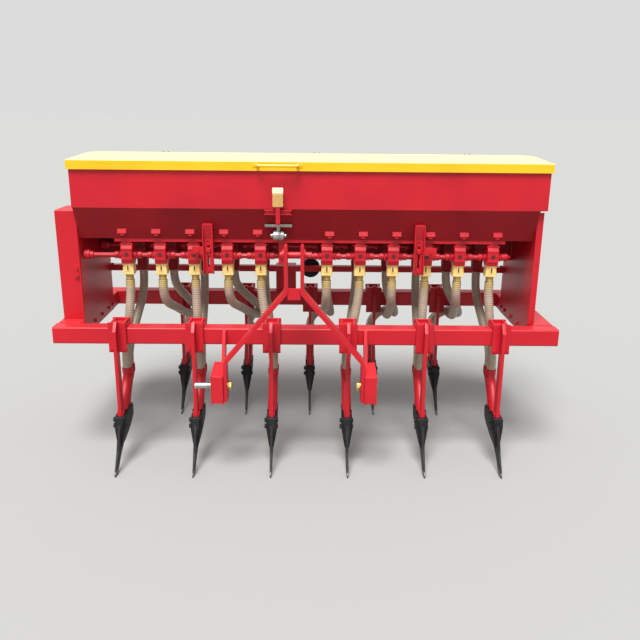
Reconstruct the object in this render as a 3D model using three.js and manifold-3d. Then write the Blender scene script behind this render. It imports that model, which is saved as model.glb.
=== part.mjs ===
// Mounted seed and fertiliser drill, eleven rows, in millimetres.
// It is pulled towards -Y, so +X is its left-hand side; +Z is up and the opener tips stand on Z = 0.
import * as THREE from 'three';
import { mergeVertices } from 'three/addons/utils/BufferGeometryUtils.js';
import Module from 'manifold-3d';

const wasm = await Module();
wasm.setup();

// ---- driving dimensions ----------------------------------------------------------------
const seat = 0.3;               // gap kept between pieces that touch
const frameLength = 2380;       // along X
const frameOffset = -15;        // the frame's middle, from the middle of the rows
const beamSize = 80;            // square tube of both beams
const tubeWall = 6;
const beamTop = 662;            // above the tips
const rankSpacing = 720;        // front beam's face to rear beam's face
const sideWidth = 120;

const rowCount = 11;
const rowSpacing = 180;
const unitCount = 11;
const unitPitch = 157;
const unitGap = 5;              // this place of the twelve has no unit: the mast stands in it

const hopperHalf = frameLength / 2 - 106;
const hopperFront = 60;
const hopperBack = 700;
const hopperTop = 1423;
const boxBottom = 1213;         // where the upright box ends and the slopes begin
const troughBottom = 1066;
const troughWidth = 64;
const frontRow = 150;           // Y of the front metering row
const rearRow = 430;            // Y of the rear metering row
const partitionFoot = 1186;
const sheet = 3;

const plateThick = 6;
const plateFront = beamSize + 12;
const plateBack = 600;
const plateBottom = 590;

const caseWidth = 108;
const caseDepth = 175;
const caseFront = 140;
const caseTop = 1190;

const lidOverhang = 8;
const lidLip = 42;
const lidCrown = 16;
const lidClear = 5;
const hingeRadius = 8;
const hingeLength = 60;
const hingePlaces = [-800, 0, 800];
const handleX = -148;
const handleLength = 190;
const handleReach = 30;
const handleBar = 12;

const shaftHeight = 980;
const shaftRadius = 11.5;
const shaftBore = 14;
const journalGap = 0.6;         // round the shaft in the end housings, which carry it
const housingWidth = 54;
const housingDepth = 80;
const housingBottom = 943;
const earSpan = 84;
const earHeight = 36;
const cupHeight = 55;
const neckRadius = 19;
const neckHeight = 27;
const outletBottom = 850;       // underside of the rear row's outlets
const outletWidth = 50;
const skirtBottom = 905;        // the rear bank's long back plate

const hoseRadius = 22;
const hoseSides = 8;
const seatTop = 424;            // top of the collar on each boot
const seatHeight = 36;
const frontSocket = 122;        // Y of a boot's front socket, from its own beam's face
const rearSocket = 172;
const socketWall = 4;
const hoseBow = 67;             // the rear rank's hoses pass their shank this far to one side
const hoseBowWide = 114;

const shankThick = 16;
const shankDepth = 50;
const shankTop = beamTop + 40;
const shankBottom = 176;
const clampWidth = 84;
const clampPlate = 14;
const clampCap = 28;
const clampDrop = 36;
const bootWidth = 48;
const bootBottom = 218;
const footWidth = 52;
const footTop = 252;
const tipFlat = 14;
const tipReach = 216;           // the point leads its beam's face by this
const pointThick = 14;

const hitchX = -70;             // middle of the three-point frame
const hitchSpread = 346;        // middle to a lower bracket
const mastGap = 55;
const mastThick = 16;
const mastFront = -196;
const mastDepth = 70;
const mastTop = 1089;
const kneeTop = 885;
const kneeLow = 550;
const mastFoot = 372;
const crossHeight = 52;
const topPinHeight = 1045;
const topPinRadius = 14;
const bracketWidth = 55;
const bracketFront = -210;
const bracketTop = 500;
const webThick = 16;
const webInset = 16;             // a bracket's web stands this far in from its middle
const linkPinHeight = 440;
const linkPinRadius = 15;
const linkPinReach = 78;
const nutRadius = 23;
const nutLength = 20;

const railSize = 38;
const railTop = 843;
const hubRadius = 52;
const hubDepth = 34;
const postWidth = 112;
const postX = -138;
const postHeight = 150;
const postDepth = 58;

const channelWidth = 48;
const channelDepth = 26;
const channelWall = 5;
const channelTop = 1142;
const channelBottom = 906;
const channelPlaces = [-474, 506];
const channelFront = 62;

const leverX = -148;
const leverThick = 20;
const leverDepth = 14;
const leverBack = 38;
const leverBottom = 1145;
const gripWidth = 50;
const gripBottom = 1226;
const gripTop = 1312;
const bracketLow = 1189;
const bracketHigh = 1211;
const rateWidth = 126;
const slopeGap = 0.4;           // off the hopper's front slope, measured along Y
const knobRadius = 22;
const knobLength = 72;
const knobHeight = 1088;
const gearboxX = -132;
const gearboxWidth = 36;

// ---- values worked out from them ---------------------------------------------------------
const frameX0 = frameOffset - frameLength / 2;
const frameX1 = frameOffset + frameLength / 2;
const beamBottom = beamTop - beamSize;
const innerX0 = frameX0 + sideWidth;
const innerX1 = frameX1 - sideWidth;
const troughX0 = innerX0 + seat + plateThick + seat;
const troughX1 = innerX1 - seat - plateThick - seat;
const hingeY = hopperBack + 14;
const hingeZ = hopperTop - 8;
const unitPlaces = [];
for (let place = 0; place <= unitCount; place++) {
  if (place !== unitGap) unitPlaces.push((place - unitCount / 2) * unitPitch);
}
const bankEnd = unitPlaces[unitCount - 1] + earSpan / 2 + 12;

// ---- shaping ------------------------------------------------------------------------------
function solidOf(geometry) {
  const plain = geometry.clone();
  plain.deleteAttribute('normal');
  plain.deleteAttribute('uv');
  const merged = mergeVertices(plain, 1e-4);
  return new wasm.Manifold(new wasm.Mesh({
    numProp: 3,
    vertProperties: new Float32Array(merged.attributes.position.array),
    triVerts: new Uint32Array(merged.index.array),
  }));
}

function block(x0, x1, y0, y1, z0, z1) {
  const shape = new THREE.BoxGeometry(x1 - x0, y1 - y0, z1 - z0);
  return solidOf(shape.translate((x0 + x1) / 2, (y0 + y1) / 2, (z0 + z1) / 2));
}

// an outline of [y, z] points, pushed along X from x0 to x1
function sideProfile(points, x0, x1) {
  const outline = new THREE.Shape(points.map(([y, z]) => new THREE.Vector2(y, z)));
  const shape = new THREE.ExtrudeGeometry(outline, { depth: x1 - x0, bevelEnabled: false });
  const turn = new THREE.Matrix4().set(0, 0, 1, x0, 1, 0, 0, 0, 0, 1, 0, 0, 0, 0, 0, 1);
  return solidOf(shape.applyMatrix4(turn));
}

// an outline of [x, z] points, pushed along Y from y0 to y1
function frontProfile(points, y0, y1) {
  const outline = new THREE.Shape(points.map(([x, z]) => new THREE.Vector2(x, z)));
  const shape = new THREE.ExtrudeGeometry(outline, { depth: y1 - y0, bevelEnabled: false });
  return solidOf(shape.rotateX(Math.PI / 2).translate(0, y1, 0));
}

function barX(radius, x0, x1, y, z, sides = 12) {
  const shape = new THREE.CylinderGeometry(radius, radius, x1 - x0, sides);
  return solidOf(shape.rotateZ(Math.PI / 2).translate((x0 + x1) / 2, y, z));
}

function barY(radius, y0, y1, x, z, sides = 24) {
  const shape = new THREE.CylinderGeometry(radius, radius, y1 - y0, sides);
  return solidOf(shape.translate(x, (y0 + y1) / 2, z));
}

function barZ(topRadius, bottomRadius, z0, z1, x, y, sides = 12) {
  const shape = new THREE.CylinderGeometry(topRadius, bottomRadius, z1 - z0, sides);
  return solidOf(shape.rotateX(Math.PI / 2).translate(x, y, (z0 + z1) / 2));
}

function pipe(points, radius, steps, sides = hoseSides) {
  const round = new THREE.Shape();
  for (let i = 0; i < sides; i++) {
    const turn = (i + 0.5) / sides * 2 * Math.PI;
    const at = [radius * Math.cos(turn), radius * Math.sin(turn)];
    if (i === 0) round.moveTo(...at);
    else round.lineTo(...at);
  }
  round.closePath();
  const route = new THREE.CatmullRomCurve3(points.map((p) => new THREE.Vector3(...p)), false, 'centripetal');
  return solidOf(new THREE.ExtrudeGeometry(round, { steps, extrudePath: route, bevelEnabled: false }));
}

function join(parts) {
  return parts.reduce((whole, part) => whole.add(part));
}

function cut(whole, parts) {
  return parts.reduce((rest, part) => rest.subtract(part), whole);
}

// ---- materials ----------------------------------------------------------------------------
function paint(color, roughness, metalness) {
  return new THREE.MeshStandardMaterial({ color, roughness, metalness });
}
const redPaint = paint(0xc8202c, 0.45, 0.1);
const yellowPaint = paint(0xf2c718, 0.45, 0.1);
const blackIron = paint(0x202124, 0.6, 0.4);
const bareSteel = paint(0xb9bbb8, 0.35, 0.9);
const hosePlastic = paint(0x8f7f72, 0.4, 0);

const drill = new THREE.Group();

function add(name, solid, material) {
  const data = solid.getMesh();
  const geometry = new THREE.BufferGeometry();
  geometry.setAttribute('position', new THREE.BufferAttribute(new Float32Array(data.vertProperties), 3));
  geometry.setIndex(new THREE.BufferAttribute(new Uint32Array(data.triVerts), 1));
  geometry.computeVertexNormals();
  const mesh = new THREE.Mesh(geometry, material);
  mesh.name = name;
  drill.add(mesh);
}

// ---- frame --------------------------------------------------------------------------------
function beam(y0) {
  const outside = block(frameX0, frameX1, y0, y0 + beamSize, beamBottom, beamTop);
  const hollow = block(frameX0 - 1, frameX1 + 1, y0 + tubeWall, y0 + beamSize - tubeWall,
    beamBottom + tubeWall, beamTop - tubeWall);
  return outside.subtract(hollow);
}

function sideMember(x0, x1) {
  const y0 = beamSize + seat;
  const y1 = rankSpacing - seat;
  const outside = block(x0, x1, y0, y1, beamBottom, beamTop);
  const hollow = block(x0 + tubeWall, x1 - tubeWall, y0 - 1, y1 + 1,
    beamBottom + tubeWall, beamTop - tubeWall);
  return outside.subtract(hollow);
}

add('front_beam', beam(0), redPaint);
add('rear_beam', beam(rankSpacing), redPaint);
add('side_member_left', sideMember(innerX1, frameX1), redPaint);
add('side_member_right', sideMember(frameX0, innerX0), redPaint);

// angle bar across the back, from one end plate to the other
function rearRail() {
  const y1 = plateBack - 4;
  const upright = block(troughX0, troughX1, y1 - channelWall, y1, railTop - railSize, railTop);
  const shelf = block(troughX0, troughX1, y1 - railSize, y1, railTop - channelWall, railTop);
  return upright.add(shelf);
}
add('rear_rail', rearRail(), redPaint);
add('drive_hub', barY(hubRadius, plateBack - 4 + seat, plateBack - 4 + seat + hubDepth, 0,
  railTop - railSize / 2), blackIron);

function drivePost() {
  const y1 = rankSpacing + beamSize - 4;
  const x0 = postX - postWidth / 2;
  const z0 = beamTop + seat;
  const outside = block(x0, x0 + postWidth, y1 - postDepth, y1, z0, z0 + postHeight);
  const hollow = block(x0 + sheet, x0 + postWidth - sheet, y1 - postDepth + sheet, y1 + 1,
    z0 + sheet, z0 + postHeight - sheet);
  return outside.subtract(hollow);
}
add('drive_post', drivePost(), redPaint);

// ---- hopper, end plates and lid -----------------------------------------------------------
const trough = (row) => [[row - troughWidth / 2, troughBottom], [row + troughWidth / 2, troughBottom]];
const ridge = (frontRow + rearRow) / 2;

function hopper() {
  const upper = block(-hopperHalf, hopperHalf, hopperFront, hopperBack, boxBottom, hopperTop);
  const under = sideProfile([[hopperFront, boxBottom], ...trough(frontRow), [ridge, partitionFoot],
    ...trough(rearRow), [hopperBack, boxBottom], [hopperBack, boxBottom + sheet],
    [hopperFront, boxBottom + sheet]], troughX0, troughX1);
  const lift = sheet * 1.15;
  const narrow = sheet * 0.7;
  const insideTrough = (row) => {
    const [[y0, z], [y1]] = trough(row);
    return [[y0 + narrow, z + sheet], [y1 - narrow, z + sheet]];
  };
  const y0 = hopperFront + sheet;
  const y1 = hopperBack - sheet;
  const inside = [[y0, boxBottom + lift], ...insideTrough(frontRow), [ridge, partitionFoot + lift],
    ...insideTrough(rearRow), [y1, boxBottom + lift], [y1, hopperTop + 1], [y0, hopperTop + 1]];
  const cuts = [sideProfile(inside, troughX0 + sheet, troughX1 - sheet),
    block(-hopperHalf + sheet, hopperHalf - sheet, y0, y1, boxBottom + lift, hopperTop + 1)];
  const knuckles = hingePlaces.flatMap((x) => [
    barX(hingeRadius, x - hingeLength, x - seat, hingeY, hingeZ),
    block(x - hingeLength, x - seat, hopperBack - 1, hingeY, hingeZ - hingeRadius, hingeZ - hingeRadius / 2),
  ]);
  return join([cut(upper.add(under), cuts), ...knuckles]);
}
add('hopper', hopper(), redPaint);

function partition() {
  const end = hopperHalf - sheet - seat;
  const half = sheet / 2;
  const upper = block(-end, end, ridge - half, ridge + half, boxBottom + sheet + 1, hopperTop - 4);
  const lower = block(troughX0 + sheet + seat, troughX1 - sheet - seat, ridge - half, ridge + half,
    partitionFoot + sheet + 1.2, boxBottom + sheet + 10);
  return upper.add(lower);
}
add('hopper_partition', partition(), redPaint);

function hopperLid() {
  const x1 = hopperHalf + lidClear + sheet;
  const y0 = hopperFront - lidOverhang - sheet;
  const y1 = hopperBack;
  const z0 = hopperTop + seat;
  const middle = (y0 + y1) / 2;
  const lip = z0 + sheet - lidLip;
  const outside = sideProfile([[y0, lip], [y1, lip], [y1, z0 + sheet], [middle, z0 + sheet + lidCrown],
    [y0, z0 + sheet]], -x1, x1);
  const hollow = sideProfile([[y0 + sheet, lip - 1], [y1 + 1, lip - 1], [y1 + 1, z0], [y1 - 24, z0],
    [middle, z0 + lidCrown], [y0 + sheet, z0 + 0.5]], -x1 + sheet, x1 - sheet);
  const knuckles = hingePlaces.flatMap((x) => [
    barX(hingeRadius, x + seat, x + hingeLength, hingeY, hingeZ),
    block(x + seat + 1, x + hingeLength - 1, y1 - 6, hingeY, z0 + 0.4, z0 + sheet - 0.5),
    block(x + seat + 2, x + hingeLength - 2, hingeY - 2, hingeY + 2, hingeZ, z0 + sheet - 1),
  ]);
  const barZ0 = hopperTop - 14;
  const handleY = y0 - handleReach;
  const handle = barX(handleBar / 2, handleX - handleLength / 2, handleX + handleLength / 2,
    handleY, barZ0, 8);
  const feet = [-1, 1].map((side) => {
    const x = handleX + side * (handleLength / 2 - handleBar);
    return block(x - handleBar / 2, x + handleBar / 2, handleY, y0 + 1, barZ0 - 4, barZ0 + 4);
  });
  return join([outside.subtract(hollow), ...knuckles, handle, ...feet]);
}
add('hopper_lid', hopperLid(), yellowPaint);

const plateOutline = [[plateFront, plateBottom], [plateBack, plateBottom], [plateBack, boxBottom - seat],
  [hopperFront + 10, boxBottom - seat], [plateFront, boxBottom - 60]];
const leftPlateFace = innerX1 - seat;

function leftPlate() {
  const web = sideProfile(plateOutline, leftPlateFace - plateThick, leftPlateFace);
  const flange = block(leftPlateFace - plateThick, leftPlateFace + 24,
    plateFront - plateThick, plateFront + 1, beamTop + seat, boxBottom - 10);
  return web.add(flange);
}
add('end_plate_left', leftPlate(), redPaint);
add('end_plate_right', sideProfile(plateOutline, innerX0 + seat, innerX0 + seat + plateThick), redPaint);

function chainCase() {
  const x1 = innerX0 - 2;
  const x0 = x1 - caseWidth;
  const y1 = caseFront + caseDepth;
  const z0 = beamTop + seat;
  const outside = block(x0, x1, caseFront, y1, z0, caseTop);
  const hollow = block(x0 + sheet, x1 + 1, caseFront + sheet, y1 - sheet, z0 + sheet, caseTop - sheet);
  const ear = block(x1 - 1, innerX0, caseFront, caseFront + 20, 880, 920);
  return outside.subtract(hollow).add(ear);
}
add('chain_case', chainCase(), redPaint);

// ---- metering banks -----------------------------------------------------------------------
function housing(x, row) {
  const y0 = row - housingDepth / 2;
  const y1 = row + housingDepth / 2;
  return [
    block(x - housingWidth / 2, x + housingWidth / 2, y0, y1, housingBottom, troughBottom - 6),
    block(x - earSpan / 2, x + earSpan / 2, row - 16, row + 16, shaftHeight - earHeight / 2,
      shaftHeight + earHeight / 2),
  ];
}

function cup(x, row) {
  const wide = new THREE.CylinderGeometry(24 * Math.SQRT2, 30 * Math.SQRT2, cupHeight, 4);
  wide.rotateY(Math.PI / 4).rotateX(Math.PI / 2).translate(x, row, housingBottom - cupHeight / 2 + 0.5);
  const neckTop = housingBottom - cupHeight + 1;
  return [solidOf(wide), barZ(neckRadius, neckRadius, neckTop - neckHeight, neckTop, x, row)];
}

function outlet(x, row) {
  const half = outletWidth / 2;
  return [block(x - half, x + half, row - half, row + half, outletBottom, housingBottom + 1)];
}

function meteringBank(row, below, extra = []) {
  const strip = block(-bankEnd, bankEnd, row - 30, row + 30, troughBottom - 8, troughBottom - seat);
  const inner = bankEnd - earSpan;
  const bores = [barX(shaftBore, -inner, inner, row, shaftHeight),
    barX(shaftRadius + journalGap, -bankEnd - 5, bankEnd + 5, row, shaftHeight)];
  const solids = unitPlaces.flatMap((x) => [...housing(x, row), ...below(x, row)]);
  const gearbox = block(gearboxX - gearboxWidth / 2, gearboxX + gearboxWidth / 2, row - 38, row + 38,
    shaftHeight - 36, troughBottom - 6);
  return cut(join([strip, gearbox, ...extra, ...solids]), bores);
}

function meteringShaft(row) {
  const start = troughX0 + 8;
  const bearing = barX(24, start, start + 46, row, shaftHeight, 16);
  const journal = barX(shaftRadius, start + 45, bankEnd + 12, row, shaftHeight, 8);
  const cone = new THREE.CylinderGeometry(5, 20, 26, 12);
  cone.rotateZ(-Math.PI / 2).translate(bankEnd + 24, row, shaftHeight);
  return join([bearing, journal, solidOf(cone)]);
}
add('front_metering_bank', meteringBank(frontRow, cup), redPaint);
const skirt = block(troughX0, troughX1, rearRow + 30, rearRow + 33, skirtBottom, troughBottom - seat);
add('rear_metering_bank', meteringBank(rearRow, outlet, [skirt]), redPaint);
add('front_metering_shaft', meteringShaft(frontRow), redPaint);
add('rear_metering_shaft', meteringShaft(rearRow), redPaint);

// ---- shaft brackets and rate control --------------------------------------------------------
// the front slope of the hopper: its Y at a height
const slopeY = (z) => {
  const foot = frontRow - troughWidth / 2;
  return hopperFront + (foot - hopperFront) * (boxBottom - z) / (boxBottom - troughBottom);
};

function channel(x) {
  const half = channelWidth / 2;
  const back = channelFront + channelDepth;
  const outline = [[channelFront, channelBottom], [back, channelBottom], [back, boxBottom - 140],
    [slopeY(channelTop) - slopeGap, channelTop], [channelFront, channelTop]];
  const web = sideProfile(outline, x - half, x + half);
  const hollow = sideProfile([[channelFront - 1, channelBottom - 1], [back - channelWall, channelBottom - 1],
    [back - channelWall, boxBottom - 142], [channelFront - 1, channelTop - 5]],
  x - half + channelWall, x + half - channelWall);
  return web.subtract(hollow);
}
channelPlaces.forEach((x, i) => add(`channel_bracket_${i + 1}`, channel(x), redPaint));

function rateBracket() {
  const half = rateWidth / 2;
  const outline = [[leverBack + seat, bracketLow], [slopeY(bracketLow) - slopeGap, bracketLow],
    [slopeY(bracketHigh) - slopeGap, bracketHigh], [leverBack + seat, bracketHigh]];
  return sideProfile(outline, leverX - half, leverX + half);
}
add('rate_bracket', rateBracket(), redPaint);

function rateLever() {
  const half = leverThick / 2;
  const y0 = leverBack - leverDepth;
  const bar = block(leverX - half, leverX + half, y0, leverBack, leverBottom, gripBottom + 10);
  const grip = block(leverX - gripWidth / 2, leverX + gripWidth / 2, y0 - 2, leverBack, gripBottom, gripTop);
  return bar.add(grip);
}
add('rate_lever', rateLever(), redPaint);

function rateKnob() {
  const half = rateWidth / 2;
  const low = leverBottom - 17;
  const high = leverBottom - 3;
  const y0 = slopeY(low) - 18;
  const bar = sideProfile([[y0, low], [slopeY(low) - slopeGap, low], [slopeY(high) - slopeGap, high],
    [y0, high]], leverX - half, leverX + half);
  const hang = block(leverX - 8, leverX + 8, y0, y0 + 10, knobHeight, low + 1);
  const knob = barX(knobRadius, leverX - knobLength / 2, leverX + knobLength / 2, y0 + 5, knobHeight, 12);
  return join([bar, hang, knob]);
}
add('rate_knob', rateKnob(), bareSteel);

// ---- three-point hitch ------------------------------------------------------------------------
function mastBar(side) {
  const inner = mastGap / 2;
  const outer = inner + mastThick;
  const footInner = hitchSpread - bracketWidth / 2 - seat - mastThick;
  const footOuter = footInner + mastThick;
  const points = [[inner, mastTop], [outer, mastTop], [outer, kneeTop + 4], [footOuter, kneeLow + 8],
    [footOuter, mastFoot], [footInner, mastFoot], [footInner, kneeLow], [inner, kneeTop - 8]];
  const placed = points.map(([x, z]) => [hitchX + side * x, z]);
  if (side > 0) placed.reverse();
  return frontProfile(placed, mastFront, mastFront + mastDepth);
}

function hitchMast() {
  const inner = mastGap / 2;
  const cross = block(hitchX - inner - 1, hitchX + inner + 1, mastFront + 4, mastFront + 14,
    kneeTop + 19 - crossHeight, kneeTop + 19);
  const pin = barX(topPinRadius, hitchX - inner - mastThick - 18, hitchX + inner + mastThick + 34,
    mastFront + mastDepth / 2, topPinHeight);
  const bore = [-1, 1].map((side) => {
    const x = hitchX + side * hitchSpread;
    return barX(linkPinRadius + seat, x - 60, x + 60, mastFront + mastDepth / 2, linkPinHeight);
  });
  return cut(join([mastBar(-1), mastBar(1), cross, pin]), bore);
}
add('hitch_mast', hitchMast(), redPaint);

function lowerBracket(side) {
  const x = hitchX + side * hitchSpread;
  const box = sideProfile([[bracketFront, mastFoot - 4], [bracketFront + 92, mastFoot - 4], [-60, 470],
    [-60, bracketTop + 20], [bracketFront, bracketTop]], x - bracketWidth / 2, x + bracketWidth / 2);
  const webX = x - side * webInset;
  const web = sideProfile([[-62, 472], [-seat, beamBottom - 20], [-seat, beamTop - 2], [-22, beamTop - 2],
    [-90, bracketTop + 10], [-90, bracketTop - 10]], webX - webThick / 2, webX + webThick / 2);
  const bore = barX(linkPinRadius + seat, x - 60, x + 60, mastFront + mastDepth / 2, linkPinHeight);
  return box.add(web).subtract(bore);
}
add('lower_hitch_left', lowerBracket(1), redPaint);
add('lower_hitch_right', lowerBracket(-1), redPaint);

// the right bracket still has its link pin, the left one only a short bolt
function linkPin(side, reach) {
  const x = hitchX + side * hitchSpread;
  const outer = x + side * (bracketWidth / 2 + reach);
  const inner = x - side * (bracketWidth / 2 + seat + mastThick);
  const y = mastFront + mastDepth / 2;
  const nutEnd = inner - side * nutLength;
  const shank = barX(linkPinRadius, Math.min(outer, nutEnd), Math.max(outer, nutEnd), y, linkPinHeight);
  const nutFace = inner - side * seat;
  const nut = barX(nutRadius, Math.min(nutFace, nutEnd), Math.max(nutFace, nutEnd), y, linkPinHeight, 6);
  return shank.add(nut);
}
add('link_pin', linkPin(-1, linkPinReach), bareSteel);
add('link_bolt', linkPin(1, 6), bareSteel);

// ---- tines, openers and hoses -------------------------------------------------------------------
function tine(x, face) {
  const at = (points) => points.map(([y, z]) => [y + face, z]);
  const half = clampWidth / 2;
  const front = face - seat - clampPlate;
  const shankFront = front - shankDepth;
  const backPlate = face + beamSize + seat;
  const shank = block(x - shankThick / 2, x + shankThick / 2, shankFront, front + 1, shankBottom, shankTop);
  const clamp = [
    block(x - half, x + half, front, face - seat, beamBottom - clampDrop, beamTop + clampCap),
    block(x - half, x + half, front, backPlate + clampPlate - 2, beamTop + seat, beamTop + clampCap),
    block(x - half, x + half, backPlate, backPlate + clampPlate - 2, beamBottom, beamTop + clampCap),
  ];
  const y0 = frontSocket - hoseRadius - socketWall;
  const y1 = rearSocket + hoseRadius + socketWall;
  const z1 = seatTop - seatHeight - seat;
  const boot = sideProfile(at([[y0, z1], [y0 + 6, z1 - 60], [-seat - clampPlate - 20, bootBottom + 40],
    [-seat - clampPlate - 20, bootBottom], [46, bootBottom], [118, bootBottom + 40], [y1, z1]]),
  x - bootWidth / 2, x + bootWidth / 2);
  return join([shank, ...clamp, boot]);
}

function opener(x, face) {
  const at = (points) => points.map(([y, z]) => [y + face, z]);
  const front = -seat - clampPlate - shankDepth;
  const foot = sideProfile(at([[front - 14, footTop - 46], [front - 14, 190], [front - 42, 96],
    [-40, 104], [24, 138], [84, 170], [124, 202], [124, footTop - 24], [96, footTop], [30, footTop]]),
  x - footWidth / 2, x + footWidth / 2);
  const point = sideProfile(at([[front - 26, footTop - 46], [front - 40, 190], [front - 84, 96],
    [-tipReach, tipFlat], [-tipReach, 0], [-tipReach + 34, 0], [-120, 62], [-38, 106],
    [front + 10, 200], [front + 10, footTop - 46]]), x - pointThick / 2, x + pointThick / 2);
  const shankSlot = block(x - shankThick / 2 - seat, x + shankThick / 2 + seat, face + front - seat,
    face - seat - clampPlate + 1 + seat, shankBottom - seat, 400);
  const bootSlot = sideProfile(at([[-seat - clampPlate - 20 - seat, bootBottom - seat],
    [46 + seat, bootBottom - seat], [118 + seat, bootBottom + 40 - seat], [150, 400], [-34.6, 400]]),
  x - bootWidth / 2 - seat, x + bootWidth / 2 + seat);
  return cut(join([foot, point]), [shankSlot, bootSlot]);
}

// both ranks: straight out of the unit, round in wide bends, and straight down into the boot
function frontRankHoses(fromX, toX) {
  const cupFoot = housingBottom - cupHeight + 1 - neckHeight - seat;
  const across = (share) => fromX + (toX - fromX) * share;
  const first = [[fromX, frontRow, cupFoot], [fromX, frontRow, cupFoot - 40],
    [across(0.28), 140, 700], [across(0.8), frontSocket + 3, 560],
    [toX, frontSocket, 470], [toX, frontSocket, seatTop - 6]];
  const second = [[fromX, rearRow, outletBottom - seat], [fromX, rearRow, outletBottom - 28],
    [across(0.03), 424, 777], [across(0.1), 407, 735], [across(0.2), 379, 699], [across(0.5), 301, 627],
    [across(0.8), 223, 555], [across(0.92), 195, 519], [toX, 178, 477], [toX, rearSocket, 440],
    [toX, rearSocket, seatTop - 6]];
  return [first, second];
}

function rearRankHoses(fromX, toX) {
  const cupFoot = housingBottom - cupHeight + 1 - neckHeight - seat;
  const face = rankSpacing;
  const under = beamBottom - 34;  // height at which they pass below the rear beam
  const near = (share) => fromX + (toX + hoseBow - fromX) * share;
  const wide = (share) => fromX + (toX + hoseBowWide - fromX) * share;
  const first = [[fromX, frontRow, cupFoot], [fromX, frontRow, cupFoot - 40],
    [near(0.02), 156, 788], [near(0.08), 173, 758], [near(0.16), 208, 731], [near(0.45), 340, 670],
    [near(0.75), 470, 609], [near(1), face - 120, under + 14], [near(1), face - 50, under],
    [near(1), face - 8, under], [toX + 50, face + 57, under - 17], [toX + 14, face + 105, under - 65],
    [toX, face + frontSocket, under - 110], [toX, face + frontSocket, seatTop - 6]];
  const second = [[fromX, rearRow, outletBottom - seat], [fromX, rearRow, outletBottom - 25],
    [wide(0.03), 434, 791], [wide(0.1), 447, 760], [wide(0.2), 468, 733], [wide(0.55), 541, 660],
    [wide(0.9), 615, 588], [wide(1), face - 60, under + 10], [wide(1), face - 13, under],
    [toX + 108, face + 42, under], [toX + 80, face + 107, under - 17], [toX + 24, face + 155, under - 65],
    [toX, face + rearSocket, under - 110], [toX, face + rearSocket, seatTop - 6]];
  return [first, second];
}

function hosePair(x, face, routes, steps) {
  const y0 = face + frontSocket - hoseRadius - socketWall;
  const y1 = face + rearSocket + hoseRadius + socketWall;
  const collar = block(x - bootWidth / 2, x + bootWidth / 2, y0, y1, seatTop - seatHeight, seatTop);
  return join([collar, ...routes.map((route) => pipe(route, hoseRadius, steps))]);
}

for (let row = 0; row < rowCount; row++) {
  const x = (row - (rowCount - 1) / 2) * rowSpacing;
  const rear = row % 2 === 1;
  const face = rear ? rankSpacing : 0;
  const routes = rear ? rearRankHoses(unitPlaces[row], x) : frontRankHoses(unitPlaces[row], x);
  add(`tine_${row + 1}`, tine(x, face), redPaint);
  add(`opener_${row + 1}`, opener(x, face), blackIron);
  add(`hoses_${row + 1}`, hosePair(x, face, routes, rear ? 20 : 12), hosePlastic);
}

// the drill's own middle: centred on its box in X and Y, tips on the floor
const box = new THREE.Box3().setFromObject(drill);
drill.position.set(-(box.min.x + box.max.x) / 2, -(box.min.y + box.max.y) / 2, -box.min.z);
drill.updateMatrixWorld(true);

export default drill;
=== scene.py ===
import math
import bpy
import bmesh
from mathutils import Matrix, Vector


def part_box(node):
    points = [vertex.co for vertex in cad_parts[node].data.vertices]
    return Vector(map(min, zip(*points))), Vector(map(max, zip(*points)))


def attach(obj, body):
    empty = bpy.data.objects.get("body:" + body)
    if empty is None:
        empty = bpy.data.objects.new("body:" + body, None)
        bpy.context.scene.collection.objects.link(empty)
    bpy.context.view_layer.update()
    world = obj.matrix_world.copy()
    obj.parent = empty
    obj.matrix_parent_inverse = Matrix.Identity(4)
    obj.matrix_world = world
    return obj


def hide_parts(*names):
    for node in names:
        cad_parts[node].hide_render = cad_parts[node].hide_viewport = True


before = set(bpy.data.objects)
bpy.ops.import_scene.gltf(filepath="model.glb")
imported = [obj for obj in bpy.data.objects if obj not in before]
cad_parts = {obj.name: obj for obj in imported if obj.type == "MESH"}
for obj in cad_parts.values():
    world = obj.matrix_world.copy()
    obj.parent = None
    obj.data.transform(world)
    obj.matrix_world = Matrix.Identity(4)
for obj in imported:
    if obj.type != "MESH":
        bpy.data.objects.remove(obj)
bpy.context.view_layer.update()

# Shapes are drawn in millimetres from the middle row and the front beam's face,
# then moved to the part's own frame in metres.
beamLow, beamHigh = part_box("front_beam")
frameStart = -1205
beamTop = beamHigh.z * 1000
beamBottom = beamLow.z * 1000
frameEnd = frameStart + (beamHigh.x - beamLow.x) * 1000
toPart = Matrix.Translation((beamLow.x - frameStart / 1000, beamLow.y, 0)) @ Matrix.Scale(0.001, 4)
rankSpacing = (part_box("rear_beam")[0].y - beamLow.y) * 1000
beamDepth = 80
sideWidth = 120         # of a side member
plateThick = 6          # an end plate stands inside each side member
seat = 0.3              # gap that touching pieces keep
innerStart = frameStart + sideWidth + plateThick + 2 * seat
innerEnd = frameEnd - sideWidth - plateThick - 2 * seat
unitPlaces = [(place - 5.5) * 157 for place in range(12) if place != 5]
rowPlaces = [(row - 5) * 180 for row in range(11)]
frontRow = 150
rearRow = 430
shaftHeight = 980


def linear(hexColour):
    channels = [int(hexColour[i:i + 2], 16) / 255 for i in (1, 3, 5)]
    return [c / 12.92 if c <= 0.04045 else ((c + 0.055) / 1.055) ** 2.4 for c in channels] + [1.0]


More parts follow.
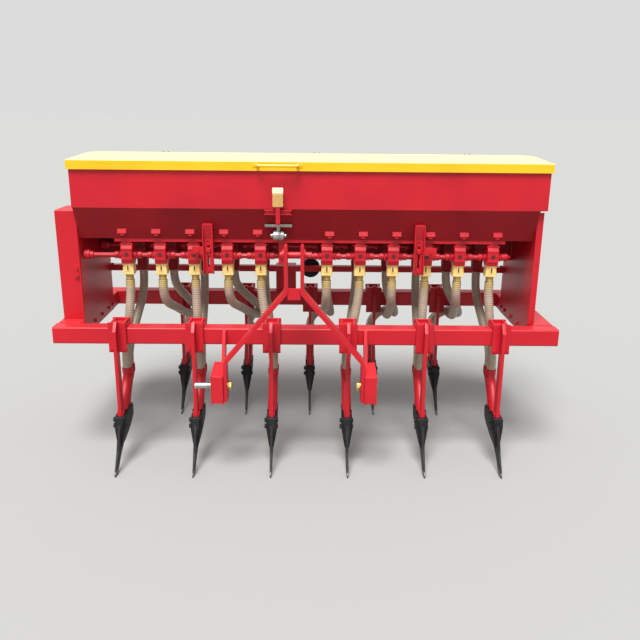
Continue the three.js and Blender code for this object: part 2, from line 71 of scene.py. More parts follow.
def addNode(tree, kind, settings=None, links=None, stops=()):
    node = tree.nodes.new(kind)
    for key, value in (settings or {}).items():
        if isinstance(key, int) or key in node.inputs:
            node.inputs[key].default_value = value
        else:
            setattr(node, key, value)
    for key, source in (links or {}).items():
        tree.links.new(source, node.inputs[key])
    for i, (position, colour) in enumerate(stops):
        ramp = node.color_ramp.elements
        element = ramp[i] if i < len(ramp) else ramp.new(position)
        element.position = position
        element.color = linear(colour) if isinstance(colour, str) else (colour, colour, colour, 1)
    return node


# a material with its shader, the object's own coordinates, and a noise for each pattern, which is
# (size in mm, detail, roughness)
def startMaterial(name, settings, patterns):
    material = bpy.data.materials.new(name)
    material.use_nodes = True
    tree = material.node_tree
    tree.nodes.clear()
    shader = addNode(tree, "ShaderNodeBsdfPrincipled", settings)
    addNode(tree, "ShaderNodeOutputMaterial", None, {"Surface": shader.outputs["BSDF"]})
    place = addNode(tree, "ShaderNodeTexCoord")
    noises = {}
    for key, (size, detail, roughness) in patterns.items():
        noise = addNode(tree, "ShaderNodeTexNoise",
                        {"Scale": 1000 / size, "Detail": detail, "Roughness": roughness},
                        {"Vector": place.outputs["Object"]})
        noises[key] = noise.outputs["Fac"]
    return material, tree, shader, place, noises


# the colour, a roughness that follows a pattern, and a relief where there is one
def finishSurface(tree, shader, colour, pattern, values, relief=None, strength=0.0, depth=0.0003):
    rough = addNode(tree, "ShaderNodeMapRange",
                    {"From Min": 0.3, "From Max": 0.7, "To Min": values["smooth"],
                     "To Max": values["rough"]},
                    {"Value": pattern})
    tree.links.new(colour, shader.inputs["Base Color"])
    tree.links.new(rough.outputs["Result"], shader.inputs["Roughness"])
    if relief:
        bump = addNode(tree, "ShaderNodeBump", {"Strength": strength, "Distance": depth},
                       {"Height": relief})
        tree.links.new(bump.outputs["Normal"], shader.inputs["Normal"])


# Sprayed enamel on fabricated steel: even colour, faint orange peel, and a paler colour on the faces
# that look up, which is a little field dust on the red paints and a painted highlight on the yellow.
def sprayedEnamel(name, paint, shade, dustAndTopHighlight, values):
    material, tree, shader, place, noises = startMaterial(
        name,
        {"IOR": 1.5, "Specular IOR Level": values["sheen"], "Coat Weight": values["coat"],
         "Coat Roughness": 0.2},
        {"patches": (values["patchSize"], 4, 0.55), "dustAndHighlightMottle": (values["dustAndHighlightGrain"], 6, 0.7),
         "peel": (values["peelSize"], 2, 0.55), "waves": (values["sheetWave"], 1, 0.55)})
    tint = addNode(tree, "ShaderNodeValToRGB", None, {"Fac": noises["patches"]},
                   [(0.3, shade), (0.62, paint)])
    dustAndHighlightMottle = addNode(tree, "ShaderNodeValToRGB", None, {"Fac": noises["dustAndHighlightMottle"]},
                     [(values["dustAndHighlightFrom"], 0.0), (values["dustAndHighlightFull"], 1.0)])
    # faces that look up get the paler colour: field dust, and on the yellow a painted highlight
    up = addNode(tree, "ShaderNodeSeparateXYZ", None, {"Vector": place.outputs["Normal"]})
    upShare = addNode(tree, "ShaderNodeMapRange",
                      {"From Min": 0.2, "From Max": 1.0, "To Min": 0.0, "To Max": values["dustAndHighlightOnTop"]},
                      {"Value": up.outputs["Z"]})
    share = addNode(tree, "ShaderNodeMath", {"operation": "MULTIPLY"},
                    {0: dustAndHighlightMottle.outputs["Color"], 1: upShare.outputs["Result"]})
    mixed = addNode(tree, "ShaderNodeMix", {"data_type": "RGBA", 7: linear(dustAndTopHighlight)},
                    {0: share.outputs["Value"], 6: tint.outputs["Color"]})
    height = addNode(tree, "ShaderNodeMath", {"operation": "MULTIPLY_ADD", 1: values["waveDepth"]},
                     {0: noises["waves"], 2: noises["peel"]})
    finishSurface(tree, shader, mixed.outputs[2], noises["dustAndHighlightMottle"], values, height.outputs["Value"],
                  values["peelStrength"], 0.0004)
    return material


enamelValues = {
    "sheen": 0.32, "coat": 0.06, "smooth": 0.36, "rough": 0.5,
    "patchSize": 260,       # spray passes overlap about a hand's width
    "dustAndHighlightGrain": 9, "dustAndHighlightOnTop": 0.14, "dustAndHighlightFrom": 0.3, "dustAndHighlightFull": 0.75,
    "peelSize": 4,          # real peel is finer; this is what still shows
    "peelStrength": 0.12, "sheetWave": 130, "waveDepth": 2.0,
}
redEnamel = sprayedEnamel("redSprayedEnamel", "#bd1524", "#b01120", "#a9817b", enamelValues)
# the troughs and rear housings are painted a darker, duller wine red: painted shade for the shade they hang
# in under the hopper
hopperShadeEnamel = sprayedEnamel("paintedShadeEnamel", "#8d1019", "#7c0d15", "#8f6f68",
                           {**enamelValues, "sheen": 0.2, "coat": 0.0, "smooth": 0.52, "rough": 0.66})
# the faces of the yellow that look up are painted pale cream, a painted highlight for the light from above
yellowEnamel = sprayedEnamel("yellowSprayedEnamel", "#f0b91c", "#e9af14", "#e2d5a0",
                             {**enamelValues, "dustAndHighlightOnTop": 0.9, "dustAndHighlightFrom": 0.1, "dustAndHighlightFull": 0.4,
                              "dustAndHighlightGrain": 60, "sheetWave": 300})


# Black bitumen paint over a forged and welded point: matt, grainy, rubbed to bare steel at the tip.
def rubbedBlackPaint(name, values):
    material, tree, shader, place, noises = startMaterial(
        name, {"IOR": 1.5, "Specular IOR Level": values["sheen"]},
        {"grain": (values["grainSize"], 5, 0.65), "smears": (values["smearSize"], 4, 0.6)})
    black = addNode(tree, "ShaderNodeValToRGB", None, {"Fac": noises["smears"]},
                    [(0.35, "#0d0d0f"), (0.58, "#18181a"), (0.8, "#2e2a27")])
    height = addNode(tree, "ShaderNodeSeparateXYZ", None, {"Vector": place.outputs["Object"]})
    low = addNode(tree, "ShaderNodeMapRange",
                  {"From Min": 0.0, "From Max": values["rubbedTo"] / 1000, "To Min": 1.0, "To Max": 0.0},
                  {"Value": height.outputs["Z"]})
    edge = addNode(tree, "ShaderNodeMath", {"operation": "MULTIPLY_ADD", 1: 1.1},
                   {0: noises["smears"], 2: low.outputs["Result"]})
    rubbed = addNode(tree, "ShaderNodeValToRGB", None, {"Fac": edge.outputs["Value"]},
                     [(0.98, 0.0), (1.2, 1.0)])
    colour = addNode(tree, "ShaderNodeMix", {"data_type": "RGBA", 7: linear(values["bareSteel"])},
                     {0: rubbed.outputs["Color"], 6: black.outputs["Color"]})
    tree.links.new(rubbed.outputs["Color"], shader.inputs["Metallic"])
    finishSurface(tree, shader, colour.outputs[2], noises["grain"], values, noises["grain"], 0.35, 0.0006)
    return material


blackPaint = rubbedBlackPaint("rubbedBlackPaint", {
    "grainSize": 3, "smearSize": 45, "rubbedTo": 45, "bareSteel": "#6f6d6a", "sheen": 0.26, "smooth": 0.42,
    "rough": 0.66})


# Plated and turned steel: bright, under a thin uneven film that varies its gloss.
def platedSteel(name, bright, dull, values):
    material, tree, shader, place, noises = startMaterial(
        name, {"Metallic": 1.0},
        {"film": (values["filmSize"], 4, 0.6), "fine": (values["grainSize"], 3, 0.55)})
    tint = addNode(tree, "ShaderNodeValToRGB", None, {"Fac": noises["film"]},
                   [(0.35, dull), (0.65, bright)])
    finishSurface(tree, shader, tint.outputs["Color"], noises["film"], values, noises["fine"], 0.12)
    return material


zincPlate = platedSteel("zincPlatedSteel", "#b9bab6", "#918f8b",
                        {"filmSize": 30, "grainSize": 2, "smooth": 0.3, "rough": 0.5})
yellowZinc = platedSteel("yellowPassivatedZinc", "#d9bd84", "#b08c4a",
                         {"filmSize": 18, "grainSize": 2, "smooth": 0.28, "rough": 0.45})


# Moulded polypropylene: soft sheen, a little light in the body, a faint spark-eroded grain.
def mouldedPlastic(name, colour, shade, values):
    material, tree, shader, place, noises = startMaterial(
        name,
        {"IOR": 1.49, "Subsurface Weight": values["glow"], "Subsurface Radius": (0.004, 0.003, 0.001),
         "Subsurface Scale": 1.0},
        {"flow": (values["flowSize"], 3, 0.55), "grain": (values["grainSize"], 2, 0.55)})
    tint = addNode(tree, "ShaderNodeValToRGB", None, {"Fac": noises["flow"]},
                   [(0.35, shade), (0.65, colour)])
    finishSurface(tree, shader, tint.outputs["Color"], noises["flow"], values, noises["grain"], 0.15)
    return material


plasticValues = {"glow": 0.1, "flowSize": 25, "grainSize": 2, "smooth": 0.4, "rough": 0.55}
cupPlastic = mouldedPlastic("mouldedYellowCup", "#e8ca83", "#dbb96b",
                            {**plasticValues, "glow": 0.15, "flowSize": 30, "smooth": 0.36, "rough": 0.5})
spoutPlastic = mouldedPlastic("mouldedSpout", "#c9b060", "#a58d42", plasticValues)
gripPlastic = mouldedPlastic("mouldedTanGrip", "#c9a063", "#bb9153",
                             {**plasticValues, "smooth": 0.38, "rough": 0.52})
creamPlastic = mouldedPlastic("mouldedCreamCap", "#f0e4c0", "#e8d9b0",
                              {**plasticValues, "smooth": 0.35, "rough": 0.5})
blackPlastic = mouldedPlastic("mouldedBlackPlastic", "#1e1e20", "#161618", {**plasticValues, "glow": 0.0})
# painted shade for the inside of a housing window or a slot: a dull, dark red sheet standing in for the
# shade in the hollow
recessShadePaint = mouldedPlastic("paintedRecessShade", "#5a1519", "#430f13",
                            {**plasticValues, "glow": 0.0, "flowSize": 20, "smooth": 0.5, "rough": 0.7})


# Clear soft PVC hose with a moulded-in spiral: smoky, glossy, darker where the spiral runs.
def smokyHose(name, values):
    material, tree, shader, place, noises = startMaterial(
        name,
        {"IOR": 1.53, "Transmission Weight": values["clear"], "Subsurface Weight": 0.2,
         "Subsurface Radius": (0.008, 0.006, 0.005), "Subsurface Scale": 1.0, "Coat Weight": 0.3,
         "Coat Roughness": 0.2},
        {"film": (values["filmSize"], 4, 0.6)})
    along = addNode(tree, "ShaderNodeAttribute", {"attribute_name": "along"}).outputs["Fac"]
    turns = addNode(tree, "ShaderNodeMath",
                    {"operation": "MULTIPLY", 1: 2 * math.pi * 1000 / values["pitch"]}, {0: along})
    wave = addNode(tree, "ShaderNodeMath", {"operation": "COSINE"}, {0: turns.outputs["Value"]})
    spiral = addNode(tree, "ShaderNodeMapRange",
                     {"From Min": -1.0, "From Max": 1.0, "To Min": 0.0, "To Max": 1.0},
                     {"Value": wave.outputs["Value"]})
    body = addNode(tree, "ShaderNodeValToRGB", None, {"Fac": noises["film"]},
                   [(0.3, values["shade"]), (0.68, values["colour"])])
    colour = addNode(tree, "ShaderNodeMix", {"data_type": "RGBA", 7: linear(values["spiral"])},
                     {0: spiral.outputs["Result"], 6: body.outputs["Color"]})
    # the yellow spout shows through the first few centimetres
    inside = addNode(tree, "ShaderNodeMapRange",
                     {"From Min": values["throatLength"] * 0.6, "From Max": values["throatLength"],
                      "To Min": 0.75, "To Max": 0.0}, {"Value": along})
    tinted = addNode(tree, "ShaderNodeMix", {"data_type": "RGBA", 7: linear(values["throat"])},
                     {0: inside.outputs["Result"], 6: colour.outputs[2]})
    finishSurface(tree, shader, tinted.outputs[2], noises["film"], values)
    return material


hosePvc = smokyHose("smokyPvcHose", {
    "pitch": 9, "clear": 0.12, "filmSize": 60, "colour": "#cbbaa6", "shade": "#ac9c89", "spiral": "#9c8c78",
    "throat": "#c2a860", "throatLength": 0.045, "smooth": 0.26, "rough": 0.42})
print("materials made")


def pick(values, *keys):
    return [values[key] for key in keys]


def newVerts(grown):
    return [v for v in grown["geom"] if isinstance(v, bmesh.types.BMVert)]


def merge(bm, part, slot=0, matrix=None):
    if matrix is not None:
        bmesh.ops.transform(part, matrix=matrix, verts=part.verts)
    for face in part.faces:
        face.material_index = slot
    carried = bpy.data.meshes.new("carried")
    part.to_mesh(carried)
    part.free()
    bm.from_mesh(carried)
    bpy.data.meshes.remove(carried)


def roundEdges(part, edges, size, segments):
    bmesh.ops.bevel(part, geom=edges, offset=size, offset_type="OFFSET", affect="EDGES", segments=segments,
                    profile=0.5, material=-1, clamp_overlap=True)


turnTo = {"x": Matrix.Rotation(math.pi / 2, 4, "Y"), "y": Matrix.Rotation(-math.pi / 2, 4, "X"),
          "z": Matrix.Identity(4)}


# a point at a distance along one axis, with a and b on the other two
def spot(axis, along, a, b):
    return {"x": (along, a, b), "y": (a, along, b), "z": (a, b, along)}[axis]


def block(bm, x0, x1, y0, y1, z0, z1, bevel=1.2, segments=2, slot=0, turn=None):
    part = bmesh.new()
    bmesh.ops.create_cube(part, size=1, matrix=Matrix.Diagonal((abs(x1 - x0), abs(y1 - y0), z1 - z0, 1)))
    roundEdges(part, part.edges[:], bevel, segments)
    middle = Matrix.Translation(((x0 + x1) / 2, (y0 + y1) / 2, (z0 + z1) / 2))
    merge(bm, part, slot, middle @ turn if turn else middle)


# an outline pushed along x or y; x takes (y, z) points and y takes (x, z); narrow gives the share of
# the width that is kept at a point
def profile(bm, points, axis, start, end, bevel=1.2, segments=2, slot=0, narrow=None):
    part = bmesh.new()
    face = part.faces.new([part.verts.new(spot(axis, start, a, b)) for a, b in points])
    grown = bmesh.ops.extrude_face_region(part, geom=[face], use_keep_orig=True)
    bmesh.ops.translate(part, vec=spot(axis, end - start, 0, 0), verts=newVerts(grown))
    bmesh.ops.recalc_face_normals(part, faces=part.faces[:])
    if narrow:
        middle = (start + end) / 2
        for vert in part.verts:
            vert.co.x = middle + (vert.co.x - middle) * narrow(vert.co)
    if bevel:
        roundEdges(part, part.edges[:], bevel, segments)
    merge(bm, part, slot)


# a bar along an axis, round or with a few flat sides, its middle at (a, b) on the other two
def rod(bm, axis, start, end, a, b, radius, sides=24, bevel=0.8, slot=0):
    part = bmesh.new()
    bmesh.ops.create_cone(part, cap_ends=True, cap_tris=False, segments=sides, radius1=radius,
                          radius2=radius, depth=abs(end - start))
    if bevel:
        rims = [e for e in part.edges if len({v.co.z > 0 for v in e.verts}) == 1]
        roundEdges(part, rims, bevel, 2)
    merge(bm, part, slot, Matrix.Translation(spot(axis, (start + end) / 2, a, b)) @ turnTo[axis])


# an outline of (distance along, radius) turned fully round an axis
def turned(bm, outline, axis, along, a, b, sides=32, slot=0):
    part = bmesh.new()
    verts = [part.verts.new((radius, 0, distance)) for distance, radius in outline]
    edges = [part.edges.new(pair) for pair in zip(verts, verts[1:])]
    bmesh.ops.spin(part, geom=verts + edges, cent=(0, 0, 0), axis=(0, 0, 1), angle=2 * math.pi, steps=sides,
                   use_merge=True)
    bmesh.ops.remove_doubles(part, verts=part.verts[:], dist=0.01)
    bmesh.ops.recalc_face_normals(part, faces=part.faces[:])
    merge(bm, part, slot, Matrix.Translation(spot(axis, along, a, b)) @ turnTo[axis])


# hexagon with every edge eased, for bolt heads and nuts
def hexagon(bm, axis, start, end, a, b, radius, ease, segments=2, slot=0):
    part = bmesh.new()
    bmesh.ops.create_cone(part, cap_ends=True, cap_tris=False, segments=6, radius1=radius, radius2=radius,
                          depth=abs(end - start))
    roundEdges(part, part.edges[:], ease, segments)
    merge(bm, part, slot, Matrix.Translation(spot(axis, (start + end) / 2, a, b)) @ turnTo[axis])


# hexagon head on a washer; the face it sits on is at along and it stands out the way of side
def boltHead(bm, axis, along, side, a, b, size, slot=0):
    rod(bm, axis, along, along + side * size * 0.16, a, b, size * 1.08, sides=20, bevel=0.3, slot=slot)
    hexagon(bm, axis, along + side * size * 0.16, along + side * size * 0.8, a, b, size * 0.96, size * 0.07,
            slot=slot)


# a square tube with rounded corners and an open bore along X or Y
def squareTube(bm, axis, start, end, low, high, wall, corner):
    part = bmesh.new()
    middle = spot(axis, (start + end) / 2, (low[0] + high[0]) / 2, (low[1] + high[1]) / 2)
    sizes = spot(axis, end - start, high[0] - low[0], high[1] - low[1])
    bmesh.ops.create_cube(part, size=1, matrix=Matrix.Translation(middle) @ Matrix.Diagonal((*sizes, 1)))
    way = {"x": 0, "y": 1}[axis]
    roundEdges(part, [e for e in part.edges if abs((e.verts[0].co - e.verts[1].co)[way]) > 1], corner, 5)
    ends = [f for f in part.faces if abs(f.normal[way]) > 0.9]
    bmesh.ops.delete(part, geom=ends, context="FACES_ONLY")
    bmesh.ops.solidify(part, geom=part.faces[:], thickness=wall)
    merge(bm, part)


# a smooth curve through the points, with so many steps between two of them
def smoothRoute(points, steps):
    knots = [Vector(p) for p in points]
    knots = [knots[0] * 2 - knots[1], *knots, knots[-1] * 2 - knots[-2]]
    route = []
    for i in range(1, len(knots) - 2):
        p0, p1, p2, p3 = knots[i - 1:i + 3]
        d0, d1, d2 = (max((b - a).length, 1e-3) ** 0.5 for a, b in ((p0, p1), (p1, p2), (p2, p3)))
        t1 = ((p1 - p0) / d0 - (p2 - p0) / (d0 + d1) + (p2 - p1) / d1) * d1
        t2 = ((p2 - p1) / d1 - (p3 - p1) / (d1 + d2) + (p3 - p2) / d2) * d1
        for step in range(steps):
            t = step / steps
            route.append((2 * t ** 3 - 3 * t ** 2 + 1) * p1 + (t ** 3 - 2 * t ** 2 + t) * t1
                         + (3 * t ** 2 - 2 * t ** 3) * p2 + (t ** 3 - t ** 2) * t2)
    return route + [knots[-2]]


def routeLength(route):
    return sum((b - a).length for a, b in zip(route, route[1:]))


# a turned length of (distance, radius) steps, laid along a route; it keeps its distance as an attribute
def laidTube(bm, route, steps, sides=14, offset=0):
    part = bmesh.new()
    along = part.verts.layers.float.new("along")
    verts = [part.verts.new((distance, radius, 0)) for distance, radius in steps]
    edges = [part.edges.new(pair) for pair in zip(verts, verts[1:])]
    bmesh.ops.spin(part, geom=verts + edges, cent=(0, 0, 0), axis=(1, 0, 0), angle=2 * math.pi, steps=sides,
                   use_merge=True)
    bmesh.ops.remove_doubles(part, verts=part.verts[:], dist=0.005)
    bmesh.ops.recalc_face_normals(part, faces=part.faces[:])
    ways = [(b - a).normalized() for a, b in zip(route, route[1:])]
    ways = [ways[0]] + [(a + b).normalized() for a, b in zip(ways, ways[1:])] + [ways[-1]]
    side = ways[0].orthogonal().normalized()
    sidesAt = []
    for way in ways:
        side = (side - way * side.dot(way)).normalized()
        sidesAt.append(side.copy())
    runs = [0.0]
    for a, b in zip(route, route[1:]):
        runs.append(runs[-1] + (b - a).length)
    scale = runs[-1] / steps[-1][0]
    for vert in part.verts:
        vert[along] = (vert.co.x * scale + offset) / 1000
        run = min(vert.co.x * scale, runs[-1])
        i = max(n for n in range(len(runs) - 1) if runs[n] <= run + 1e-6)
        t = (run - runs[i]) / max(runs[i + 1] - runs[i], 1e-6)
        way = ways[i].lerp(ways[i + 1], t).normalized()
        across = sidesAt[i].lerp(sidesAt[i + 1], t)
        across = (across - way * across.dot(way)).normalized()
        vert.co = route[i].lerp(route[i + 1], t) + across * vert.co.y + way.cross(across) * vert.co.z
    merge(bm, part)


# a rounded bead of weld along a line
def weldBead(bm, start, end, radius=3.2):
    a, b = Vector(start), Vector(end)
    length = (b - a).length
    count = max(int(length / 5), 3)
    steps = [(0, 0), (0.5, radius * 0.6)]
    for i in range(count):
        steps += [(length * (i + 0.3) / count, radius), (length * (i + 0.9) / count, radius * 0.84)]
    laidTube(bm, [a, a.lerp(b, 0.5), b], steps + [(length - 0.4, radius * 0.6), (length, 0)], 8)


def finishPiece(name, bm, materials, slot, *nodes, body="drill", angle=38):
    bmesh.ops.transform(bm, matrix=toPart, verts=bm.verts[:])
    mesh = bpy.data.meshes.new(name)
    bm.to_mesh(mesh)
    bm.free()
    for material in materials:
        mesh.materials.append(material)
    mesh.shade_smooth()
    mesh.set_sharp_from_angle(angle=math.radians(angle))
    piece = bpy.data.objects.new(name, mesh)
    bpy.context.scene.collection.objects.link(piece)
    weighted = piece.modifiers.new("weightedNormals", "WEIGHTED_NORMAL")
    weighted.keep_sharp = True
    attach(piece, body)
    if nodes:
        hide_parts(*nodes)


cameraValues = {"lens": 39.71, "place": (3.6, -3162.7, 1639.3), "pitch": 16.43, "yaw": 0.78, "roll": 0.58}


def makeCamera(values):
    camera = bpy.data.objects.new("camera", bpy.data.cameras.new("camera"))
    bpy.context.scene.collection.objects.link(camera)
    camera.data.lens = values["lens"]
    camera.data.sensor_width = 36
    pitch, yaw, roll = (math.radians(angle) for angle in pick(values, "pitch", "yaw", "roll"))
    ahead = Vector((math.sin(yaw) * math.cos(pitch), math.cos(yaw) * math.cos(pitch), -math.sin(pitch)))
    right = ahead.cross(Vector((0, 0, 1))).normalized()
    up = right.cross(ahead)
    turnedRight = right * math.cos(roll) + up * math.sin(roll)
    turnedUp = up * math.cos(roll) - right * math.sin(roll)
    pose = Matrix((turnedRight, turnedUp, -ahead)).transposed().to_4x4()
    pose.translation = toPart @ Vector(values["place"])
    camera.matrix_world = pose
    bpy.context.scene.camera = camera


makeCamera(cameraValues)


# the frame: two cross beams of square tube, and two wider side members welded between them
frameValues = {"wall": 6, "corner": 8, "beadInset": 9}


def makeFrame(values):
    wall, corner, inset = pick(values, "wall", "corner", "beadInset")
    for name, y in (("front_beam", 0), ("rear_beam", rankSpacing)):
        bm = bmesh.new()
        squareTube(bm, "x", frameStart, frameEnd, (y, beamBottom), (y + beamDepth, beamTop), wall, corner)
        finishPiece(name.replace("_", "") + "Tube", bm, [redEnamel], "red_paint", name)
    y0, y1 = beamDepth + seat, rankSpacing - seat
    for name, x0, x1 in (("side_member_right", frameStart, frameStart + sideWidth),
                         ("side_member_left", frameEnd - sideWidth, frameEnd)):
        bm = bmesh.new()
        squareTube(bm, "y", y0, y1, (x0, beamBottom), (x1, beamTop), wall, corner)
        inner = x1 if x0 < 0 else x0
        for y in (beamDepth + 1.5, rankSpacing - 1.5):
            for z in (beamTop - 1, beamBottom + 1):
                weldBead(bm, (x0 + inset, y, z), (x1 - inset, y, z))
            weldBead(bm, (inner, y, beamBottom + inset), (inner, y, beamTop - inset))
        finishPiece(name.replace("_", "") + "Tube", bm, [redEnamel], "red_paint", name)


makeFrame(frameValues)
print("frame made")


# the hopper: a folded box with two troughs under it, hinged to the lid behind
hopperValues = {
    "half": 1084, "front": 60, "back": 700, "top": 1423, "boxBottom": 1213, "troughBottom": 1066,
    "troughWidth": 64, "ridge": 1186, "sheet": 3,
}
hingeValues = {"places": (-800, 0, 800), "y": 714, "z": 1415, "radius": 8, "leaf": 60}
middleRow = (frontRow + rearRow) / 2


# front trough and rear trough, as (y, z) lines from edge to edge
def troughLines(values):
    front, back, low, foot, ridge = pick(values, "front", "back", "boxBottom", "troughBottom", "ridge")
    half = values["troughWidth"] / 2
    return ([(front, low), (frontRow - half, foot), (frontRow + half, foot), (middleRow, ridge)],
            [(middleRow, ridge), (rearRow - half, foot), (rearRow + half, foot), (back, low)])


def openBand(bm, line, x0, x1, wall, slot):
    part = bmesh.new()
    verts = [part.verts.new((x0, y, z)) for y, z in line]
    edges = [part.edges.new(pair) for pair in zip(verts, verts[1:])]
    grown = bmesh.ops.extrude_edge_only(part, edges=edges)
    bmesh.ops.translate(part, vec=(x1 - x0, 0, 0), verts=newVerts(grown))
    bmesh.ops.recalc_face_normals(part, faces=part.faces[:])
    bmesh.ops.solidify(part, geom=part.faces[:], thickness=wall)
    merge(bm, part, slot)


def makeHopper(values):
    bm = bmesh.new()
    half, front, back, top, low, sheet = pick(values, "half", "front", "back", "top", "boxBottom", "sheet")
    # four upright walls, and ledges over the end plates
    for y in (front, back - sheet):
        block(bm, -half, half, y, y + sheet, low, top)
    for x in (-half, half - sheet):
        block(bm, x, x + sheet, front, back, low, top)
    block(bm, -half, innerStart + 2, front, back, low, low + sheet, 1)
    block(bm, innerEnd - 2, half, front, back, low, low + sheet, 1)
    # troughs between the plates, closed at both ends
    # the troughs take the darker enamel, painted shade for their place under the hopper
    for line in troughLines(values):
        openBand(bm, [(y, z + sheet / 2) for y, z in line], innerStart, innerEnd, sheet, 1)
    for x in (innerStart, innerEnd - sheet):
        for line in troughLines(values):
            edge = [(line[-1][0], low + 2), (line[0][0], low + 2)]
            profile(bm, line + edge, "x", x, x + sheet, 0, slot=1)
    # folded rim and welded corner seams
    for y in (front + 3, back - 12):
        block(bm, -half + 1, half - 1, y, y + 9, top - 4, top - 0.6, 1)
    for x in (0.8 - half, half - 0.8):
        for y in (front + 0.8, back - 0.8):
            weldBead(bm, (x, y, low + 3), (x, y, top - 42), 1.5)
    # hinge knuckles, each on a leaf bolted to the back
    hingeY, hingeZ, radius, leaf = pick(hingeValues, "y", "z", "radius", "leaf")
    for x in hingeValues["places"]:
        rod(bm, "x", x - leaf, x - 0.4, hingeY, hingeZ, radius)
        block(bm, x - leaf, x - 0.4, hingeY - 16, hingeY - 1, hingeZ - 8, hingeZ - 4, 1)
        for dx in (45, 18):
            boltHead(bm, "y", back, 1, x - dx, hingeZ - 23, 6)
        block(bm, x - leaf, x - 0.4, back, back + 3, hingeZ - 35, hingeZ - 5, 1)
    finishPiece("hopperShell", bm, [redEnamel, hopperShadeEnamel], "red_paint", "hopper")
    # partition on the ridge between the troughs, with a folded top
    bm = bmesh.new()
    inner = half - sheet - 0.6
    y0, y1 = middleRow - 1.5, middleRow + 1.5
    block(bm, -inner, inner, y0, y1, low + 5, top - 4, 1)
    block(bm, innerStart + 4, innerEnd - 4, y0, y1, values["ridge"] + 5, low + 12, 1)
    block(bm, -inner, inner, middleRow - 5, middleRow + 5, top - 8, top - 5, 1)
    finishPiece("hopperPartition", bm, [redEnamel], "red_paint", "hopper_partition")


makeHopper(hopperValues)

lidValues = {
    "half": 1092, "front": 49, "back": 700, "seat": 1423.3, "sheet": 3, "lip": 42, "crown": 16,
    "turnOut": 5, "ribs": (-540, 0, 540), "handleX": -148, "handleZ": 1408, "handleLength": 190,
    "handleReach": 30, "handleRadius": 6,
}


def makeLid(values):
    bm = bmesh.new()
    half, y0, y1, foot, sheet, out = pick(values, "half", "front", "back", "seat", "sheet", "turnOut")
    low = foot + sheet - values["lip"]
    middle = (y0 + y1) / 2
    # crowned sheet with a turned rim, and a lip folded down at the front and both ends
    part = bmesh.new()
    bmesh.ops.create_grid(part, x_segments=32, y_segments=20, size=0.5,
                          matrix=Matrix.Translation((0, middle, foot + sheet))
                          @ Matrix.Diagonal((2 * (half - out), y1 - y0 - 2 * out, 1, 1)))
    for vert in part.verts:
        share = 1 - abs(vert.co.y - middle) / (middle - y0)
        vert.co.z += values["crown"] * min(1.0, share * 1.04) * (1 - 0.12 * share)
    grown = bmesh.ops.extrude_edge_only(part, edges=[e for e in part.edges if e.is_boundary])
    for vert in newVerts(grown):
        vert.co.x += out * (1 if vert.co.x > half - out - 1 else -1 if vert.co.x < out + 1 - half else 0)
        vert.co.y += out * (1 if vert.co.y > y1 - out - 1 else -1 if vert.co.y < y0 + out + 1 else 0)
        vert.co.z -= 3
    rims = [e for e in part.edges if e.is_boundary and max(abs(v.co.y - y1) for v in e.verts) > 1]
    grown = bmesh.ops.extrude_edge_only(part, edges=rims)
    for vert in newVerts(grown):
        vert.co.z = low
    bmesh.ops.recalc_face_normals(part, faces=part.faces[:])
    if sum(f.normal.z * f.calc_area() for f in part.faces) < 0:
        bmesh.ops.reverse_faces(part, faces=part.faces[:])
    bmesh.ops.solidify(part, geom=part.faces[:], thickness=2.4)
    merge(bm, part)
    # stiffening ribs under the sheet, and a hem along the front lip
    for x in values["ribs"]:
        block(bm, x - 18, x + 18, y0 + 40, y1 - 60, foot + 1.0, foot + 3, 1)
    rod(bm, "x", -half + 6, half - 6, y0 + 2.5, low + 2, 2.4, sides=12, bevel=0)
    # hinge leaves and knuckles, beside those of the hopper
    hingeY, hingeZ, radius, leaf = pick(hingeValues, "y", "z", "radius", "leaf")
    for x in hingeValues["places"]:
        rod(bm, "x", x + 0.4, x + leaf, hingeY, hingeZ, radius)
        rod(bm, "x", x + leaf, x + leaf + 3, hingeY, hingeZ, 5, sides=16, slot=1)
        block(bm, x + 1.5, x + leaf - 1.5, hingeY - 34, hingeY + 1, foot + 0.4, foot + 2.6, 0.8)
        block(bm, x + 2, x + leaf - 2, hingeY - 2, hingeY + 2, hingeZ + 1, foot + 2.4, 0.6)
        for dx in (18, 44):
            boltHead(bm, "z", foot + 3.6, 1, x + dx, hingeY - 28, 6, slot=1)
    # bent bar handle, its ends riveted to the lip
    reach, length, radius, z = pick(values, "handleReach", "handleLength", "handleRadius", "handleZ")
    x0 = values["handleX"] - length / 2 + 6
    x1 = values["handleX"] + length / 2 - 6
    far = y0 - reach
    route = smoothRoute([(x0, y0 + 1, z), (x0, far + 12, z), (x0 + 4, far + 3, z), (x0 + 13, far, z),
                         (x1 - 13, far, z), (x1 - 4, far + 3, z), (x1, far + 12, z), (x1, y0 + 1, z)], 6)
    length = routeLength(route)
    steps = [(0, 0), (0.1, radius)] + [(length * i / 60, radius) for i in range(1, 60)]
    laidTube(bm, route, steps + [(length - 0.1, radius), (length, 0)])
    for x, side in ((x0, -1), (x1, 1)):
        turned(bm, [(0, 0), (0, 10), (1.5, 10), (4, 6), (4, 0)], "y", y0 - 4, x, z, 20)
        block(bm, x - side * 8, x + side * 22, y0 - 2.2, y0 + 0.2, z - 9, z + 7, 0.8)
        rod(bm, "y", y0 - 3.6, y0 - 2, x + side * 15, z - 1, 3.6, sides=16, bevel=0.6)
    finishPiece("hopperLid", bm, [yellowEnamel, zincPlate], "yellow_paint", "hopper_lid", body="lid")


makeLid(lidValues)
print("hopper and lid made")


# end plates that carry the hopper, bolted along the foot and under the ledge
plateValues = {
    "front": 92, "back": 600, "bottom": 590, "top": 1212.4, "noseY": 70, "noseZ": 1153, "flange": 24,
    "footBolts": (150, 260, 380, 500, 570), "topBolts": (130, 250, 370),
}


